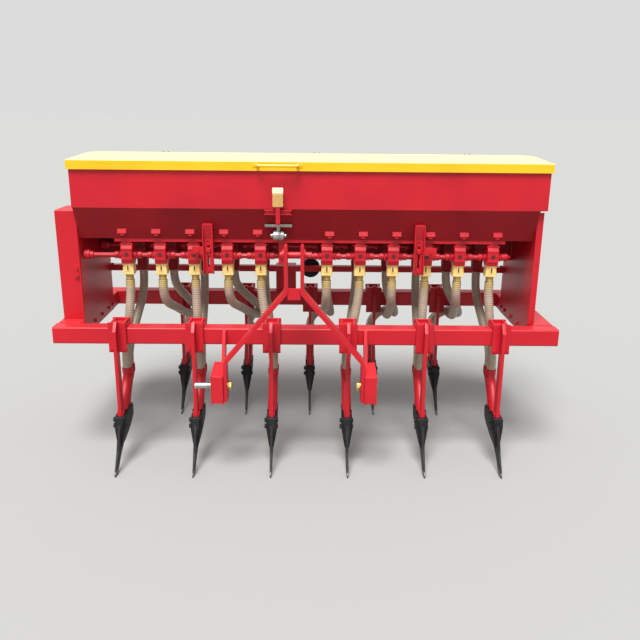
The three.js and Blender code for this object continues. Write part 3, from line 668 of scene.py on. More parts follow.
def makePlates(values):
    front, back, bottom, top = pick(values, "front", "back", "bottom", "top")
    outline = [(front, bottom), (back, bottom), (back, top), (values["noseY"], top),
               (front, values["noseZ"])]
    foot = beamTop + 0.6
    for name, x0, inward in (("end_plate_right", frameStart + sideWidth + seat, 1),
                             ("end_plate_left", frameEnd - sideWidth - seat - plateThick, -1)):
        bm = bmesh.new()
        profile(bm, outline, "x", x0, x0 + plateThick, 1)
        inner = x0 + plateThick if inward > 0 else x0
        for places, z, size in ((values["footBolts"], bottom + 32, 10), (values["topBolts"], 1196, 6)):
            for y in places:
                boltHead(bm, "x", inner, inward, y, z, size)
        if inward < 0:
            # turned front flange with a foot bolted down
            block(bm, x0, x0 + plateThick + values["flange"], 86.3, 92.6, foot, 1202)
            block(bm, x0 + plateThick, x0 + 28, 92, 128, foot, beamTop + 6, 1)
            boltHead(bm, "z", beamTop + 6, 1, x0 + 18, 112, 8)
        else:
            # stiffening strip on the inner face
            block(bm, inner - 0.4, inner + 1.6, 100, 112, 700, 1150, 0.8)
        finishPiece(name.replace("_", "") + "Sheet", bm, [redEnamel], "red_paint", name)


makePlates(plateValues)

caseValues = {"width": 108, "depth": 175, "front": 140, "top": 1190, "corner": 7, "clipZ": 900}


def makeChainCase(values):
    bm = bmesh.new()
    y0, top, clip = pick(values, "front", "top", "clipZ")
    x1 = frameStart + sideWidth - 2
    x0 = x1 - values["width"]
    y1 = y0 + values["depth"]
    foot = beamTop + 0.4
    block(bm, x0, x1, y0, y1, foot, top, values["corner"], 4)
    # pressed cover on the outer face with its turned edge and bolts
    block(bm, x0 - 0.5, x0 + 3, y0 + 14, y1 - 14, beamTop + 24, top - 20, 1.6, 3)
    for z in (beamTop + 40, 840, 1010, top - 36):
        for y in (y0 + 24, y1 - 24):
            rod(bm, "x", x0 - 1.9, x0 + 1, y, z, 6, sides=6, bevel=0.4)
    # seam on top, and a clip with two bolts half way up
    block(bm, x0 + 6, x1 - 6, y0 + 6, y1 - 6, top - 1, top - 0.1, 0.4)
    block(bm, x1 - 36, x1 + 1.6, y0 - 7, y0 + 1, clip - 32, clip + 32, 1.6)
    block(bm, x1 - 5, x1 + 1.6, y0 - 7, y0 + 20, clip - 42, clip + 42, 1.6)
    for z in (clip - 16, clip + 16):
        boltHead(bm, "y", y0 - 7, -1, x1 - 20, z, 8.5)
    # foot flange welded to the side member
    block(bm, x0 - 0.2, x1 + 0.2, y0 - 0.2, y1 + 0.2, foot, foot + 5)
    finishPiece("chainCase", bm, [redEnamel], "red_paint", "chain_case")


makeChainCase(caseValues)
print("plates and chain case made")


# metering units, one row under each trough: cast housings, and moulded cups under the front row
unitValues = {
    "width": 54, "depth": 80, "bottom": 943, "top": 1065, "windowZ": 988, "earSpan": 84,
    "cupTop": 49, "cupFoot": 55, "cupHeight": 54, "spoutRadius": 19, "spoutHeight": 27,
    "outletWidth": 50, "outletBottom": 850,
}


def meteringHousing(bm, x, row, values):
    half = values["width"] / 2
    low, top, window = pick(values, "bottom", "top", "windowZ")
    y0 = row - values["depth"] / 2
    y1 = row + values["depth"] / 2
    # throat under the trough, roll housing and its nose
    profile(bm, [(x - 20, top - 1), (x - 24, 1030), (x + 24, 1030), (x + 20, top - 1)], "y", y0 + 12,
            y1 - 12, 2)
    profile(bm, [(y0, low + 25), (y0 + 6, low), (y1 - 6, low), (y1, low + 25), (y1, 1014), (y1 - 12, 1036),
                 (y0 + 12, 1036), (y0, 1014)], "x", x - half, x + half, 3, 3)
    block(bm, x - half - 3, x + half + 3, y0 + 8, y1 - 8, 1032, 1040, 1.6)
    # round window, a dark disc of painted shade for its hollow, with a bar and two bolts about it, on the
    # front and the back
    for y, way in ((y0, -1), (y1, 1)):
        rod(bm, "y", y, y + way * 1.2, x, window, 10.5, sides=28, bevel=0.2, slot=2)
        for dx in (-19.5, 19.5):
            rod(bm, "y", y, y + way * 2.4, x + dx, window, 4.5, sides=6, bevel=0.3, slot=1)
        for z0, z1 in ((window - 25, window - 16), (window + 22, window + 29)):
            block(bm, x - 25, x + 25, y - way * 0.2, y + way * 2.4, z0, z1, 0.8)
    # side ears with the sleeve round the shaft
    for side in (-1, 1):
        ear = x + side * values["earSpan"] / 2
        block(bm, ear, ear - side * 6, row - 17, row + 17, shaftHeight - 18, shaftHeight + 18, 1.6)
        start, end = sorted((x + side * half, ear))
        turned(bm, [(start, 12.4), (start, 17.4), (end - 0.2, 16), (end - 0.2, 12.4), (start, 12.4)], "x",
               0, row, shaftHeight, 24)


def meteringCup(bm, x, row, values):
    height, radius, spout = pick(values, "cupHeight", "spoutRadius", "spoutHeight")
    wide, narrow = values["cupFoot"] / 2, values["cupTop"] / 2
    top = values["bottom"] + 0.4
    foot = top - height
    part = bmesh.new()
    bmesh.ops.create_cone(part, cap_ends=True, cap_tris=False, segments=4, radius1=wide * math.sqrt(2),
                          radius2=narrow * math.sqrt(2), depth=height,
                          matrix=Matrix.Rotation(math.pi / 4, 4, "Z"))
    roundEdges(part, [e for e in part.edges if abs(e.verts[0].co.z - e.verts[1].co.z) > 10], 7, 4)
    roundEdges(part, [e for e in part.edges if e.calc_face_angle(0) > 1.2], 2.4, 3)
    merge(bm, part, 0, Matrix.Translation((x, row, top - height / 2)))
    # collar under the housing, foot band, and a tab with its slot on the front and the back; the slot is a
    # thin dark block of painted shade
    for reach, z0, z1, bevel in ((narrow + 2.5, top - 7, top, 2), (wide - 0.8, foot, foot + 5, 1.6)):
        block(bm, x - reach, x + reach, row - reach, row + reach, z0, z1, bevel, 3)
    for way in (-1, 1):
        face = row + way * (narrow + 4.2)
        block(bm, x - 10, x + 10, face, face - way * 4, top - 38, top - 4, 1.6)
        block(bm, x - 3.2, x + 3.2, face + way * 0.25, face - way, top - 33, top - 9, 0.2, 1, slot=2)
    turned(bm, [(0, 0), (0, radius - 2.6), (1.2, radius - 1.6), (spout - 7, radius - 0.4),
                (spout - 6, radius), (spout, radius), (spout, 0)], "z", foot + 1 - spout, x, row, 28,
                slot=1)


def rearOutlet(bm, x, row, values):
    half = values["outletWidth"] / 2
    low, top = values["outletBottom"], values["bottom"] + 0.5
    profile(bm, [(x - half, low + 40), (x - half + 3, low + 6), (x + half - 3, low + 6),
                 (x + half, low + 40), (x + half, top), (x - half, top)], "y", row - half, row + half, 3, 3)
    turned(bm, [(0, 0), (0, 21), (1, 22), (9, 22), (9, 0)], "z", low, x, row, 28)
    for way in (-1, 1):
        y = row + way * half
        block(bm, x - 16, x + 16, y - way, y + way * 2.2, low + 46, low + 76)
        rod(bm, "y", y + way * 2, y + way * 5, x, low + 61, 5, sides=6, bevel=0.4)


def makeBanks(values):
    end = unitPlaces[-1] + values["earSpan"] / 2 + 12
    # the rear row takes the darker enamel, painted shade for its place under the hopper
    for name, row, paint in (("front", frontRow, redEnamel), ("rear", rearRow, hopperShadeEnamel)):
        bm = bmesh.new()
        # bar along the trough bottom with its two turned edges
        block(bm, -end, end, row - 30, row + 30, 1058, 1065.6, 1)
        for side in (-1, 1):
            block(bm, -end, end, row + side * 31, row + side * 29, 1048, 1065, 0.8)
        for x in unitPlaces:
            meteringHousing(bm, x, row, values)
            if row == rearRow:
                rearOutlet(bm, x, row, values)
        if row == rearRow:
            # long plate that the rear housings are bolted to
            block(bm, innerStart, innerEnd, row + 30, row + 33, 905, 1065, 1)
            block(bm, innerStart, innerEnd, row + 22, row + 31, 905, 908, 0.8)
            for x in unitPlaces:
                for dx in (-14, 14):
                    boltHead(bm, "y", row + 33, 1, x + dx, 930, 6)
        else:
            # lever box beside the mast
            block(bm, -150, -114, row - 38, row + 38, 944, 1060, 2.5, 3)
            for z in (1040, 975):
                boltHead(bm, "y", row - 38, -1, -132, z, 7)
            turned(bm, [(0, 10), (0, 20), (7, 20), (7, 10), (0, 10)], "x", -114, row, shaftHeight, 24)
        finishPiece(f"{name}MeteringHousings", bm, [paint, redEnamel, recessShadePaint], "red_paint",
                    f"{name}_metering_bank")
    bm = bmesh.new()
    for x in unitPlaces:
        meteringCup(bm, x, frontRow, values)
    finishPiece("meteringCups", bm, [cupPlastic, spoutPlastic, recessShadePaint], "yellow_paint")


makeBanks(unitValues)

shaftValues = {"radius": 12, "collarFrom": 45, "collar": 20, "collarRadius": 17}


def makeShafts(values):
    collar, radius = pick(values, "collar", "collarRadius")
    start = innerStart + 8
    end = unitPlaces[-1] + unitValues["earSpan"] / 2 + 12
    for name, row in (("front", frontRow), ("rear", rearRow)):
        bm = bmesh.new()
        # hexagon bar, a bossed sprocket hub at the driven end and a coned collar at the other
        rod(bm, "x", start + 44, end + 12, row, shaftHeight, values["radius"], sides=6, bevel=0.6)
        turned(bm, [(0, 0), (0, 20), (2, 22), (12, 22), (14, 24), (26, 24), (28, 18), (44, 16), (46, 13),
                    (46, 0)], "x", start, row, shaftHeight, 36)
        for i in range(6):
            turn = i * math.pi / 3
            rod(bm, "x", start - 1.4, start + 4, row + 14 * math.cos(turn),
                shaftHeight + 14 * math.sin(turn), 3, sides=6, bevel=0.3)
        turned(bm, [(0, 0), (0, 19.5), (4, 20), (24, 6), (26, 5), (26, 0)], "x", end + 11, row, shaftHeight,
               32)
        # a collar with its set screw on each side of a unit
        for x in unitPlaces:
            for first in (x - values["collarFrom"] - collar, x + values["collarFrom"]):
                turned(bm, [(0, 0), (0, radius - 1.5), (1.5, radius), (collar - 1.5, radius),
                            (collar, radius - 1.5), (collar, 0)], "x", first, row, shaftHeight, 24)
                rod(bm, "y", row - radius - 3.5, row - radius + 1, first + collar / 2, shaftHeight, 4.5,
                    sides=4, bevel=0.4)
        rod(bm, "x", end + 36.5, end + 37, row, shaftHeight, 4, sides=12, bevel=0)
        finishPiece(f"{name}MeteringShaft", bm, [redEnamel], "red_paint", f"{name}_metering_shaft",
                    body=f"{name}_shaft")


makeShafts(shaftValues)
print("metering units made")


# how far back the front slope of the hopper lies at a height
def slopeY(z):
    front, low, foot = pick(hopperValues, "front", "boxBottom", "troughBottom")
    share = (low - z) / (low - foot)
    return front + (frontRow - hopperValues["troughWidth"] / 2 - front) * share


# two slotted channels from the slope down to the shaft, and the tabs and plates along the front row
bracketValues = {
    "places": (-474, 506), "width": 48, "front": 62, "depth": 26, "top": 1142, "bottom": 906, "wall": 5,
    "slot": 9, "bearings": ((-549, -498.5), (530.5, 588)), "tabShift": 10, "tabLeft": 1104,
    "tabRight": 1098,
}


def makeChannels(values):
    y0, bottom, top, wall = pick(values, "front", "bottom", "top", "wall")
    half, slot = values["width"] / 2, values["slot"] / 2
    y1 = y0 + values["depth"]
    inner = half - 1
    slope = slopeY(top) - 0.6
    for i, x in enumerate(values["places"]):
        bm = bmesh.new()
        side = [(y0, bottom + 12), (y0 + 10, bottom), (y1, bottom), (y1, 1072), (slope, top), (y0, top)]
        for x0 in (x - half, x + half - wall):
            profile(bm, side, "x", x0, x0 + wall, 1)
        # slotted web at the back of the channel, and the part that lies along the trough
        for way in (-1, 1):
            block(bm, x + way * inner, x + way * slot, y1 - wall, y1, bottom + 30, 1062, 1)
        block(bm, x - inner, x + inner, y1 - wall, y1, bottom, bottom + 31, 1)
        profile(bm, [(y1 - wall, 1061), (y1, 1061), (y1, 1072), (slope, top), (y0, top), (y0, top - 4),
                     (y1 - wall, 1070)], "x", x - inner, x + inner, 0.8)
        # shaft guide in the slot, and the bolts at its foot and its head
        turned(bm, [(0, 0), (0, 10), (1.5, 11.5), (9, 11.5), (9, 0)], "y", y1 - wall - 9, x,
               shaftHeight + 38, 20)
        for z in (bottom + 16, 1048):
            boltHead(bm, "y", y1 - wall, -1, x, z, 7.5)
        finishPiece(f"shaftChannel{i + 1}", bm, [redEnamel], "red_paint", f"channel_bracket_{i + 1}")
    # bearing plates beside the channels, and the shutter tabs over the units
    bm = bmesh.new()
    for x0, x1 in values["bearings"]:
        block(bm, x0, x1, 74, 80, 1000, 1036, 1.4)
        block(bm, x0 + 4, x0 + 12, 79, 112, 1004, 1030, 1)
        rod(bm, "y", 68, 76, (x0 + x1) / 2, 1018, 9, sides=6, bevel=0.6)
    tilt = Matrix.Rotation(-math.atan2(58, 147), 4, "X")    # as steep as the slope
    for x in unitPlaces:
        tabX = x + math.copysign(values["tabShift"], x)
        tabZ = values["tabLeft"] if x < 0 else values["tabRight"]
        y = slopeY(tabZ)
        block(bm, tabX - 21, tabX + 21, y - 9, y - 5.5, tabZ - 14, tabZ + 14, turn=tilt)
        block(bm, tabX - 9, tabX + 9, y - 6, y - 1.2, tabZ - 24, tabZ + 4, 1, turn=tilt)
    finishPiece("shutterTabs", bm, [redEnamel], "red_paint")


makeChannels(bracketValues)

leverValues = {
    "x": -148, "back": 38, "width": 126, "ledges": (1189, 1206), "low": 1145.4, "pivot": 1158,
    "gripWidth": 50, "gripBottom": 1226, "gripTop": 1312, "barLow": 1128, "barHigh": 1142, "knob": 1088,
}


def makeLever(values):
    x, back, knob, pivot = pick(values, "x", "back", "knob", "pivot")
    half = values["width"] / 2
    bm = bmesh.new()
    # folded bracket of two ledges with a bolted web between them
    for z in values["ledges"]:
        profile(bm, [(back + 0.6, z), (slopeY(z) - 0.6, z), (slopeY(z + 5) - 0.6, z + 5),
                     (back + 0.6, z + 5)],
                "x", x - half, x + half, 1)
    block(bm, x - half + 4, x + half - 4, back + 8, back + 11, 1191, 1209, 0.8)
    for side in (-1, 1):
        boltHead(bm, "y", back + 8, -1, x + side * 46, 1200.5, 6)
    finishPiece("rateBracket", bm, [redEnamel], "red_paint", "rate_bracket")
    bm = bmesh.new()
    block(bm, x - 10, x + 10, back - 13.6, back - 0.2, values["low"], 1236, 1.6)
    rod(bm, "y", back - 14.2, back - 10, x, pivot, 9, bevel=0.6)
    # tan grip with two finger grooves, and its cream cap
    grip = values["gripWidth"] / 2
    low, top = pick(values, "gripBottom", "gripTop")
    right = [(grip - 3, 0), (grip, 8), (grip - 2, 20), (grip, 32), (grip - 2, 44), (grip, 58)]
    edge = [(x + a, low + b) for a, b in right]
    profile(bm, [(x - grip + 3, low)] + edge + [(x - a, low + b) for a, b in reversed(right[1:])], "y",
            back - 15.8, back - 0.2, 3, 3, slot=1)
    block(bm, x - grip + 0.2, x + grip - 0.2, back - 15.8, back - 0.2, low + 58.5, top, 4, 4, slot=2)
    finishPiece("rateLever", bm, [redEnamel, gripPlastic, creamPlastic], "red_paint", "rate_lever")
    bm = bmesh.new()
    low, high = pick(values, "barLow", "barHigh")
    y0 = slopeY(low) - 18
    profile(bm, [(y0, low), (slopeY(low) - 0.6, low), (slopeY(high) - 0.6, high), (y0, high)], "x",
            x - half, x + half, 1.6)
    block(bm, x - 8, x + 8, y0, y0 + 10, knob, low + 1)
    # knurled adjusting nut on its screw
    turned(bm, [(-36, 0), (-36, 9), (-26, 9), (-26, 19), (-23, 21.6), (23, 21.6), (26, 19), (26, 9),
                (36, 9), (36, 0)], "x", x, y0 + 5, knob, 40)
    for i in range(20):
        turn = i * math.pi / 10
        rod(bm, "x", x - 21, x + 21, y0 + 5 + 20.8 * math.cos(turn), knob + 20.8 * math.sin(turn), 1.2,
            sides=8, bevel=0)
    finishPiece("rateKnob", bm, [zincPlate], "bare_steel", "rate_knob")


makeLever(leverValues)
print("brackets and rate control made")


# three-point hitch: a mast of two splayed bars, and a box bracket for each lower link
hitchValues = {
    "x": -70, "spread": 346, "gap": 55, "thick": 16, "front": -196, "depth": 70, "top": 1089,
    "kneeTop": 885, "kneeLow": 550, "foot": 372, "topPin": 1045, "topPinRadius": 14, "pin": 440,
    "pinRadius": 15, "pinReach": 78, "boltReach": 6, "nutRadius": 22.4, "boxWidth": 55, "webWidth": 16,
    "webInset": 16,
}


def makeMast(values):
    x, y0, thick, top, foot, pinZ = pick(values, "x", "front", "thick", "top", "foot", "topPin")
    knee, low = pick(values, "kneeTop", "kneeLow")
    inner = values["gap"] / 2
    outer = inner + thick
    footInner = values["spread"] - values["boxWidth"] / 2 - seat - thick
    footOuter = footInner + thick
    y1 = y0 + values["depth"]
    mid = (y0 + y1) / 2
    bm = bmesh.new()
    outline = [(inner, top - 8), (inner + 4, top), (outer - 4, top), (outer, top - 8), (outer, knee + 12),
               (outer + 5, knee - 2), (footOuter - 5, low + 16), (footOuter, low + 2), (footOuter, foot),
               (footInner, foot), (footInner, low - 4), (footInner - 5, low + 8), (inner + 3, knee - 10),
               (inner, knee + 2)]
    for side in (-1, 1):
        profile(bm, [(x + side * a, b) for a, b in outline], "y", y0, y1, 1.6)
        out = x + side * outer
        turned(bm, [(0, 14), (0, 26), (1.5, 27), (5, 27), (6, 25), (6, 14), (0, 14)], "x",
               out if side > 0 else out - 6, mid, pinZ)
        bead = x + side * (inner - 1)
        weldBead(bm, (bead, y0 + 3, knee + 1), (bead, y0 + 3, knee + 17), 3)
    block(bm, x - inner - 1, x + inner + 1, y0 + 4, y0 + 14, knee - 33, knee + 19, 1.6)
    # top pin with its head, and its linch pin at the other end
    rod(bm, "x", x - outer - 18, x + outer + 34, mid, pinZ, values["topPinRadius"], sides=32, bevel=1.5)
    rod(bm, "x", x - outer - 12, x - outer - 6, mid, pinZ, 20, sides=32, bevel=1)
    rod(bm, "y", mid - 18, mid + 18, x + outer + 24, pinZ, 3, sides=12, bevel=0.6, slot=1)
    finishPiece("hitchMast", bm, [redEnamel, zincPlate], "red_paint", "hitch_mast")


def makeLinkBrackets(values):
    half, web = values["boxWidth"] / 2, values["webWidth"] / 2
    y = values["front"] + values["depth"] / 2
    for side, name in ((1, "Left"), (-1, "Right")):
        bm = bmesh.new()
        x = values["x"] + side * values["spread"]
        # two cheeks, closed by a folded strap in front, above and behind
        for x0 in (x - half, x + half - 9):
            profile(bm, [(-210, 368), (-118, 368), (-60, 470), (-60, 520), (-210, 500)], "x", x0, x0 + 9,
                    1.4)
        block(bm, x - half + 2, x + half - 2, -209.6, -200, 372, 500, 2, 3)
        profile(bm, [(-209, 500), (-61, 519.6), (-61, 510), (-209, 490)], "x", x - half + 1, x + half - 1)
        profile(bm, [(-120, 370), (-62, 472), (-70, 476), (-128, 374)], "x", x - half + 6, x + half - 6, 1)
        # upright web plate, set towards the mast, from the box's top to the beam
        webX = x - side * values["webInset"]
        profile(bm, [(-64, 474), (-0.4, beamBottom - 19), (-0.4, beamTop - 3), (-21, beamTop - 3),
                     (-89, 511), (-89, 492)], "x", webX - web, webX + web, 1.6)
        for way in (-1, 1):
            edge = webX + way * web
            weldBead(bm, (edge, -2.4, beamBottom + 2), (edge, -2.4, beamTop - 6), 3)
            weldBead(bm, (edge, -86, 516), (edge, -64, 519), 3)
            turned(bm, [(0, 15.6), (0, 24), (1.6, 25), (1.6, 15.6), (0, 15.6)], "x",
                   x + way * half - (1.6 if way > 0 else 0) + way * 0.9, y, values["pin"])
        finishPiece(f"lowerHitch{name}", bm, [redEnamel], "red_paint", f"lower_hitch_{name.lower()}")


# the right bracket has its link pin, the left one a short bolt; both end in a nut beside the mast bar
def makePins(values):
    y, z = values["front"] + values["depth"] / 2, values["pin"]
    half, radius, thick = values["boxWidth"] / 2, values["pinRadius"], values["thick"]
    for side, reach, name, node in ((-1, values["pinReach"], "linkPin", "link_pin"),
                                    (1, values["boltReach"], "linkBolt", "link_bolt")):
        bm = bmesh.new()
        x = values["x"] + side * values["spread"]
        outer = x + side * (half + reach)
        inner = x - side * (half + seat + thick)
        rod(bm, "x", outer, inner - side * 20, y, z, radius, sides=36, bevel=2.2)
        if node == "link_pin":
            # groove ring and the linch pin through the end
            turned(bm, [(0, 14), (0, 15.6), (5, 15.6), (5, 14), (0, 14)], "x", outer + 8, y, z, 36)
            rod(bm, "z", z - 15.6, z + 15.6, outer + 16, y, 4.2, sides=16, bevel=0.6, slot=2)
        rod(bm, "x", inner - side * 0.3, inner - side * 3.4, y, z, 22.6, sides=36, bevel=0.6, slot=1)
        hexagon(bm, "x", inner - side * 3.6, inner - side * 18.6, y, z, values["nutRadius"], 1.6, 3, slot=1)
        finishPiece(name, bm, [zincPlate, yellowZinc, blackPlastic], "bare_steel", node)


makeMast(hitchValues)
makeLinkBrackets(hitchValues)
makePins(hitchValues)
print("hitch made")


# a tine clamped on the beam, the twin pipes of its boot, and the opener at its foot
tineValues = {
    "thick": 16, "depth": 50, "top": 702, "bottom": 176, "clampWidth": 84, "plate": 14, "cap": 28,
    "drop": 36, "pipe": 23, "sockets": ((122, -8), (172, 40)), "openerHalf": 25, "pointHalf": 7,
    "reach": 216,
}


def makeTine(bm, x, face, values):
    bottom, top, cap, pipe = pick(values, "bottom", "top", "cap", "pipe")
    half, thick = values["clampWidth"] / 2, values["thick"] / 2
    front = face - seat - values["plate"]
    shank = front - values["depth"]
    # shank: flat bar with its top corner cut away
    profile(bm, [(shank, bottom + 14), (shank + 8, bottom), (front - 0.2, bottom), (front - 0.2, top),
                 (shank + 30, top), (shank, top - 42)], "x", x - thick, x + thick, 1.6)
    # clamp: front plate, cap with its two folded lips, back plate
    for reach, y0, y1, z0, z1, bevel in (
            (half, front, face - 0.4, beamBottom - values["drop"], beamTop + 20, 1.8),
            (half - 1, front + 1, face + 91, beamTop + 0.4, beamTop + 12, 1.6),
            (half, front + 1, front + 11, beamTop + 8, beamTop + cap, 1.6),
            (half, face + 80.4, face + 92, beamBottom, beamTop + cap - 1, 1.6)):
        block(bm, x - reach, x + reach, y0, y1, z0, z1, bevel)
    for side in (-1, 1):
        bx = x + side * (half - 13)
        rod(bm, "y", front + 10, face + 82, bx, beamTop + 19.5, 7, sides=16, bevel=0.4)
        boltHead(bm, "y", face + 91.6, 1, bx, beamTop + 15, 8.4)
        boltHead(bm, "y", front, -1, bx, beamBottom - 19, 8.4)
        rod(bm, "y", face - 1, face + 12, bx, beamBottom - 19, 7, sides=16, bevel=0.6)
        bead = x + side * (thick + 0.6)
        weldBead(bm, (bead, front - 1, beamBottom - 30), (bead, front - 1, beamTop - 4), 3)
    # each pipe with its socket, and a black disc inside the socket: painted shade for the pipe's dark mouth
    for socket, foot in values["sockets"]:
        route = smoothRoute([(x, face + socket, 423.6), (x, face + socket, 388),
                             (x, face + socket * 0.62 + foot * 0.38, 348),
                             (x, face + foot + (socket - foot) * 0.2, 282), (x, face + foot, 220)], 8)
        length = routeLength(route)
        steps = [(0, pipe - 2.6), (0.1, pipe + 1.6), (1.5, pipe + 2.4), (34, pipe + 2.4), (36, pipe + 0.4)]
        steps += [(36 + (length - 36) * i / 24, pipe - 0.6) for i in range(1, 24)]
        laidTube(bm, route, steps + [(length - 0.2, pipe - 0.6), (length, 0)], 24)
        rod(bm, "z", 400, 412, x, face + socket, pipe - 1.4, bevel=0, slot=1)
    # seam plate between the pipes, and a strap from the shank's foot to them
    profile(bm, [(face - 20, 226), (face + 44, 226), (face + 120, 300), (face + 150, 392),
                 (face + 128, 392), (face + 40, 300)], "x", x - 5, x + 5)
    for side in (-1, 1):
        block(bm, x + side * (thick + 7), x + side * (thick + 0.5), front - 44, face + 6, 238, 262)


def makeOpener(bm, x, face, values):
    front = face - seat - values["plate"] - values["depth"]
    half, point = values["openerHalf"], values["pointHalf"]
    tip = face - values["reach"]

    def bodyShare(at):
        return 0.42 if at.z < 110 else 0.62 if at.z < 155 else 0.86 if at.z < 188 or at.y > face + 100 else 1

    def pointShare(at):
        return 0.4 if at.y < face - 190 else 0.8 if at.y < face - 130 else 1

    # a body round the shank's foot and the pipes, drawn in towards the point
    profile(bm, [(front - 13, 240), (front - 13, 190), (front - 40, 100), (face - 42, 105),
                 (face + 14, 128), (face + 76, 150), (face + 104, 184), (face + 108, 226), (face + 88, 250),
                 (face + 20, 250)],
            "x", x - half, x + half, 4, 3, narrow=bodyShare)
    # lips round the pipes' ends
    for dy in (-6, 50):
        turned(bm, [(0, 0), (0, 24.4), (1, 25.4), (12, 25.4), (14, 24), (14, 0)], "z", 242, x, face + dy,
               28)
    # forged point: thick at the back, drawn to an edge and a flat-footed tip
    profile(bm, [(front - 25, 206), (front - 39, 180), (front - 84, 96), (tip, 14), (tip, 0), (tip + 34, 0),
                 (face - 120, 62), (face - 38, 106), (front + 12, 180), (front + 12, 206)],
            "x", x - point, x + point, 1.6, narrow=pointShare)
    # wear plate on the leading edge, narrowing downwards
    plate = bmesh.new()
    bmesh.ops.create_cube(plate, size=1, matrix=Matrix.Diagonal((40, 9, 112, 1)))
    for vert in plate.verts:
        if vert.co.z < 0:
            vert.co.x *= 0.4
    roundEdges(plate, plate.edges[:], 2, 2)
    lean = Matrix.Rotation(math.radians(-14), 4, "X")
    merge(bm, plate, 0, Matrix.Translation((x, front - 25, 180)) @ lean)
    # two cross bolts through the shank's foot, their heads to the right-hand side
    for z, y in ((222, front + 12), (192, front + 8)):
        for start, end, radius, sides, ease in (
                (-27, 27, 6.5, 16, 0.6), (-35, -26, 11, 6, 1), (25, 30, 10.5, 6, 1)):
            rod(bm, "x", x + start, x + end, y, z, radius, sides=sides, bevel=ease)
    # foot weld between the body and the point
    for side in (-1, 1):
        weldBead(bm, (x + side * point, front - 32, 108), (x + side * point, face - 42, 110), 3)


hoseRib = {"radius": 21.8, "valley": 20.4, "pitch": 9, "bow": 67, "bowWide": 114, "end": 404}


def ribbedHose(bm, route, values, offset):
    radius, valley = pick(values, "radius", "valley")
    length = routeLength(route)
    count = int(length / values["pitch"])
    pitch = length / count
    steps = [(0, valley - 3), (0.2, valley)]
    for i in range(count):
        steps += [(pitch * (i + 0.15), valley), (pitch * (i + 0.35), radius), (pitch * (i + 0.65), radius),
                  (pitch * (i + 0.85), valley)]
    laidTube(bm, route, steps + [(length - 0.2, valley), (length, valley - 3)], 18, offset)


# straight out of the unit, round in wide bends, and straight down into the boot
def hoseRoutes(unitX, x, rear, values):
    cupFoot = unitValues["bottom"] - unitValues["cupHeight"] - unitValues["spoutHeight"] - seat
    outlet = unitValues["outletBottom"] - seat
    end = values["end"]

    def across(share, bow=0):
        return unitX + (x + bow - unitX) * share

    if not rear:
        return ([(unitX, frontRow, cupFoot), (unitX, frontRow, cupFoot - 40), (across(0.28), 140, 700),
                 (across(0.8), 125, 560), (x, 122, 470), (x, 122, end)],
                [(unitX, rearRow, outlet), (unitX, rearRow, outlet - 28), (across(0.03), 424, 777),
                 (across(0.1), 407, 735), (across(0.2), 379, 699), (across(0.5), 301, 627),
                 (across(0.8), 223, 555), (across(0.92), 195, 519), (x, 178, 477), (x, 172, 440),
                 (x, 172, end)])
    face = rankSpacing
    under = beamBottom - 34
    bow, wide = pick(values, "bow", "bowWide")
    return ([(unitX, frontRow, cupFoot), (unitX, frontRow, cupFoot - 40), (across(0.02, bow), 156, 788),
             (across(0.08, bow), 173, 758), (across(0.16, bow), 208, 731), (across(0.45, bow), 340, 670),
             (across(0.75, bow), 470, 609), (x + bow, face - 120, under + 14), (x + bow, face - 50, under),
             (x + bow, face - 8, under), (x + 50, face + 57, under - 17), (x + 14, face + 105, under - 65),
             (x, face + 122, under - 110), (x, face + 122, end)],
            [(unitX, rearRow, outlet), (unitX, rearRow, outlet - 25), (across(0.03, wide), 434, 791),
             (across(0.1, wide), 447, 760), (across(0.2, wide), 468, 733), (across(0.55, wide), 541, 660),
             (across(0.9, wide), 615, 588), (x + wide, face - 60, under + 10), (x + wide, face - 13, under),
             (x + 108, face + 42, under), (x + 80, face + 107, under - 17),
             (x + 24, face + 155, under - 65), (x, face + 172, under - 110), (x, face + 172, end)])


# odd rows hang on the front beam and even rows on the rear one
def makeRows():
    for number, x in enumerate(rowPlaces, 1):
        rear = number % 2 == 0
        face = rankSpacing if rear else 0
        bm = bmesh.new()
        makeTine(bm, x, face, tineValues)
        finishPiece(f"tine{number}", bm, [redEnamel, blackPaint], "red_paint", f"tine_{number}")
        bm = bmesh.new()
        makeOpener(bm, x, face, tineValues)
        finishPiece(f"opener{number}", bm, [blackPaint], "black_iron", f"opener_{number}")
        bm = bmesh.new()
        # only the hose on the yellow spout has the spout showing through its first centimetres
        routes = hoseRoutes(unitPlaces[number - 1], x, rear, hoseRib)
        for points, offset in zip(routes, (0, hoseRib["pitch"] * 11)):
            ribbedHose(bm, smoothRoute(points, 10), hoseRib, offset)
        finishPiece(f"hosePair{number}", bm, [hosePvc], "hose_plastic", f"hoses_{number}", angle=60)


makeRows()
print("rows made")


# rear rail, the hub on it and the open box on the rear beam
rearValues = {
    "y": 596, "size": 38, "top": 843, "postX": -138, "postWidth": 112, "postDepth": 58, "postHeight": 150,
}


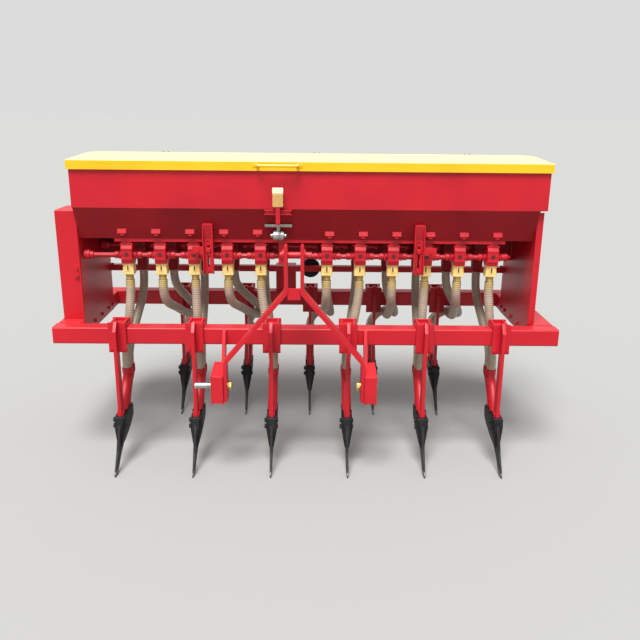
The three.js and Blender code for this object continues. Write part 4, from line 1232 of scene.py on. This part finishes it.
def makeRear(values):
    y, top, size = pick(values, "y", "top", "size")
    bm = bmesh.new()
    profile(bm, [(y - size, top - 5), (y - 5, top - 5), (y - 5, top - size), (y, top - size), (y, top),
                 (y - size, top)], "x", innerStart, innerEnd)
    for x in (innerStart + 14, innerEnd - 14):
        boltHead(bm, "z", top, 1, x, y - 18, 8)
    finishPiece("rearRail", bm, [redEnamel], "red_paint", "rear_rail")
    bm = bmesh.new()
    hubZ = top - size / 2
    turned(bm, [(seat, 0), (seat, 46), (2, 51), (5, 52), (26, 52), (29, 50), (30, 40), (24, 38), (24, 20),
                (30, 18), (34, 17), (34, 0)], "y", y, 0, hubZ, 48)
    for i in range(4):
        turn = math.pi / 4 + i * math.pi / 2
        rod(bm, "y", y + 22, y + 30, 29 * math.cos(turn), hubZ + 29 * math.sin(turn), 5, sides=6, bevel=0.6,
            slot=1)
    finishPiece("driveHub", bm, [blackPaint, zincPlate], "black_iron", "drive_hub")
    bm = bmesh.new()
    x, width, depth, height = pick(values, "postX", "postWidth", "postDepth", "postHeight")
    back = rankSpacing + 76
    part = bmesh.new()
    bmesh.ops.create_cube(part, size=1,
                          matrix=Matrix.Translation((x, back - depth / 2, beamTop + seat + height / 2))
                          @ Matrix.Diagonal((width, depth, height, 1)))
    roundEdges(part, [e for e in part.edges if abs(e.verts[0].co.z - e.verts[1].co.z) > 9], 5, 4)
    bmesh.ops.delete(part, geom=[f for f in part.faces if f.normal.y > 0.9], context="FACES_ONLY")
    bmesh.ops.solidify(part, geom=part.faces[:], thickness=3)
    merge(bm, part)
    block(bm, x - 36, x + 36, back - 54, back - 10, beamTop + 60, beamTop + 66, 1)
    for dx in (-34, 34):
        boltHead(bm, "z", beamTop + 3.6, 1, x + dx, back - 22, 8)
        boltHead(bm, "y", back - depth, -1, x + dx, beamTop + 118, 8)
    finishPiece("drivePost", bm, [redEnamel], "red_paint", "drive_post")


makeRear(rearValues)
print("rear pieces made")


# a wide plain floor, an even white sky and one soft high light from the front
stageValues = {
    "floor": "#9a9a98", "floorRadius": 150, "sky": 0.72, "sun": 5.3, "softness": 26, "height": 64,
    "side": -13,
}


def makeStage(values):
    scene = bpy.context.scene
    bm = bmesh.new()
    bmesh.ops.create_circle(bm, cap_ends=True, segments=64, radius=values["floorRadius"])
    mesh = bpy.data.meshes.new("floor")
    bm.to_mesh(mesh)
    bm.free()
    mesh.materials.append(startMaterial("paleFloor", {
        "Base Color": linear(values["floor"]), "Roughness": 0.9, "Specular IOR Level": 0.1}, {})[0])
    floor = bpy.data.objects.new("floor", mesh)
    scene.collection.objects.link(floor)
    scene.world = bpy.data.worlds.new("softSky")
    scene.world.use_nodes = True
    sky = scene.world.node_tree.nodes["Background"].inputs
    sky["Color"].default_value = (1, 1, 1, 1)
    sky["Strength"].default_value = values["sky"]
    light = bpy.data.lights.new("softKey", "SUN")
    light.energy = values["sun"]
    light.angle = math.radians(values["softness"])
    lamp = bpy.data.objects.new("softKey", light)
    scene.collection.objects.link(lamp)
    height, side = math.radians(values["height"]), math.radians(values["side"])
    level = math.cos(height)
    towards = Vector((math.sin(side) * level, -math.cos(side) * level, math.sin(height)))
    lamp.location = towards * 6
    lamp.rotation_euler = (-towards).to_track_quat("-Z", "Y").to_euler()
    scene.view_settings.view_transform = "Standard"


makeStage(stageValues)
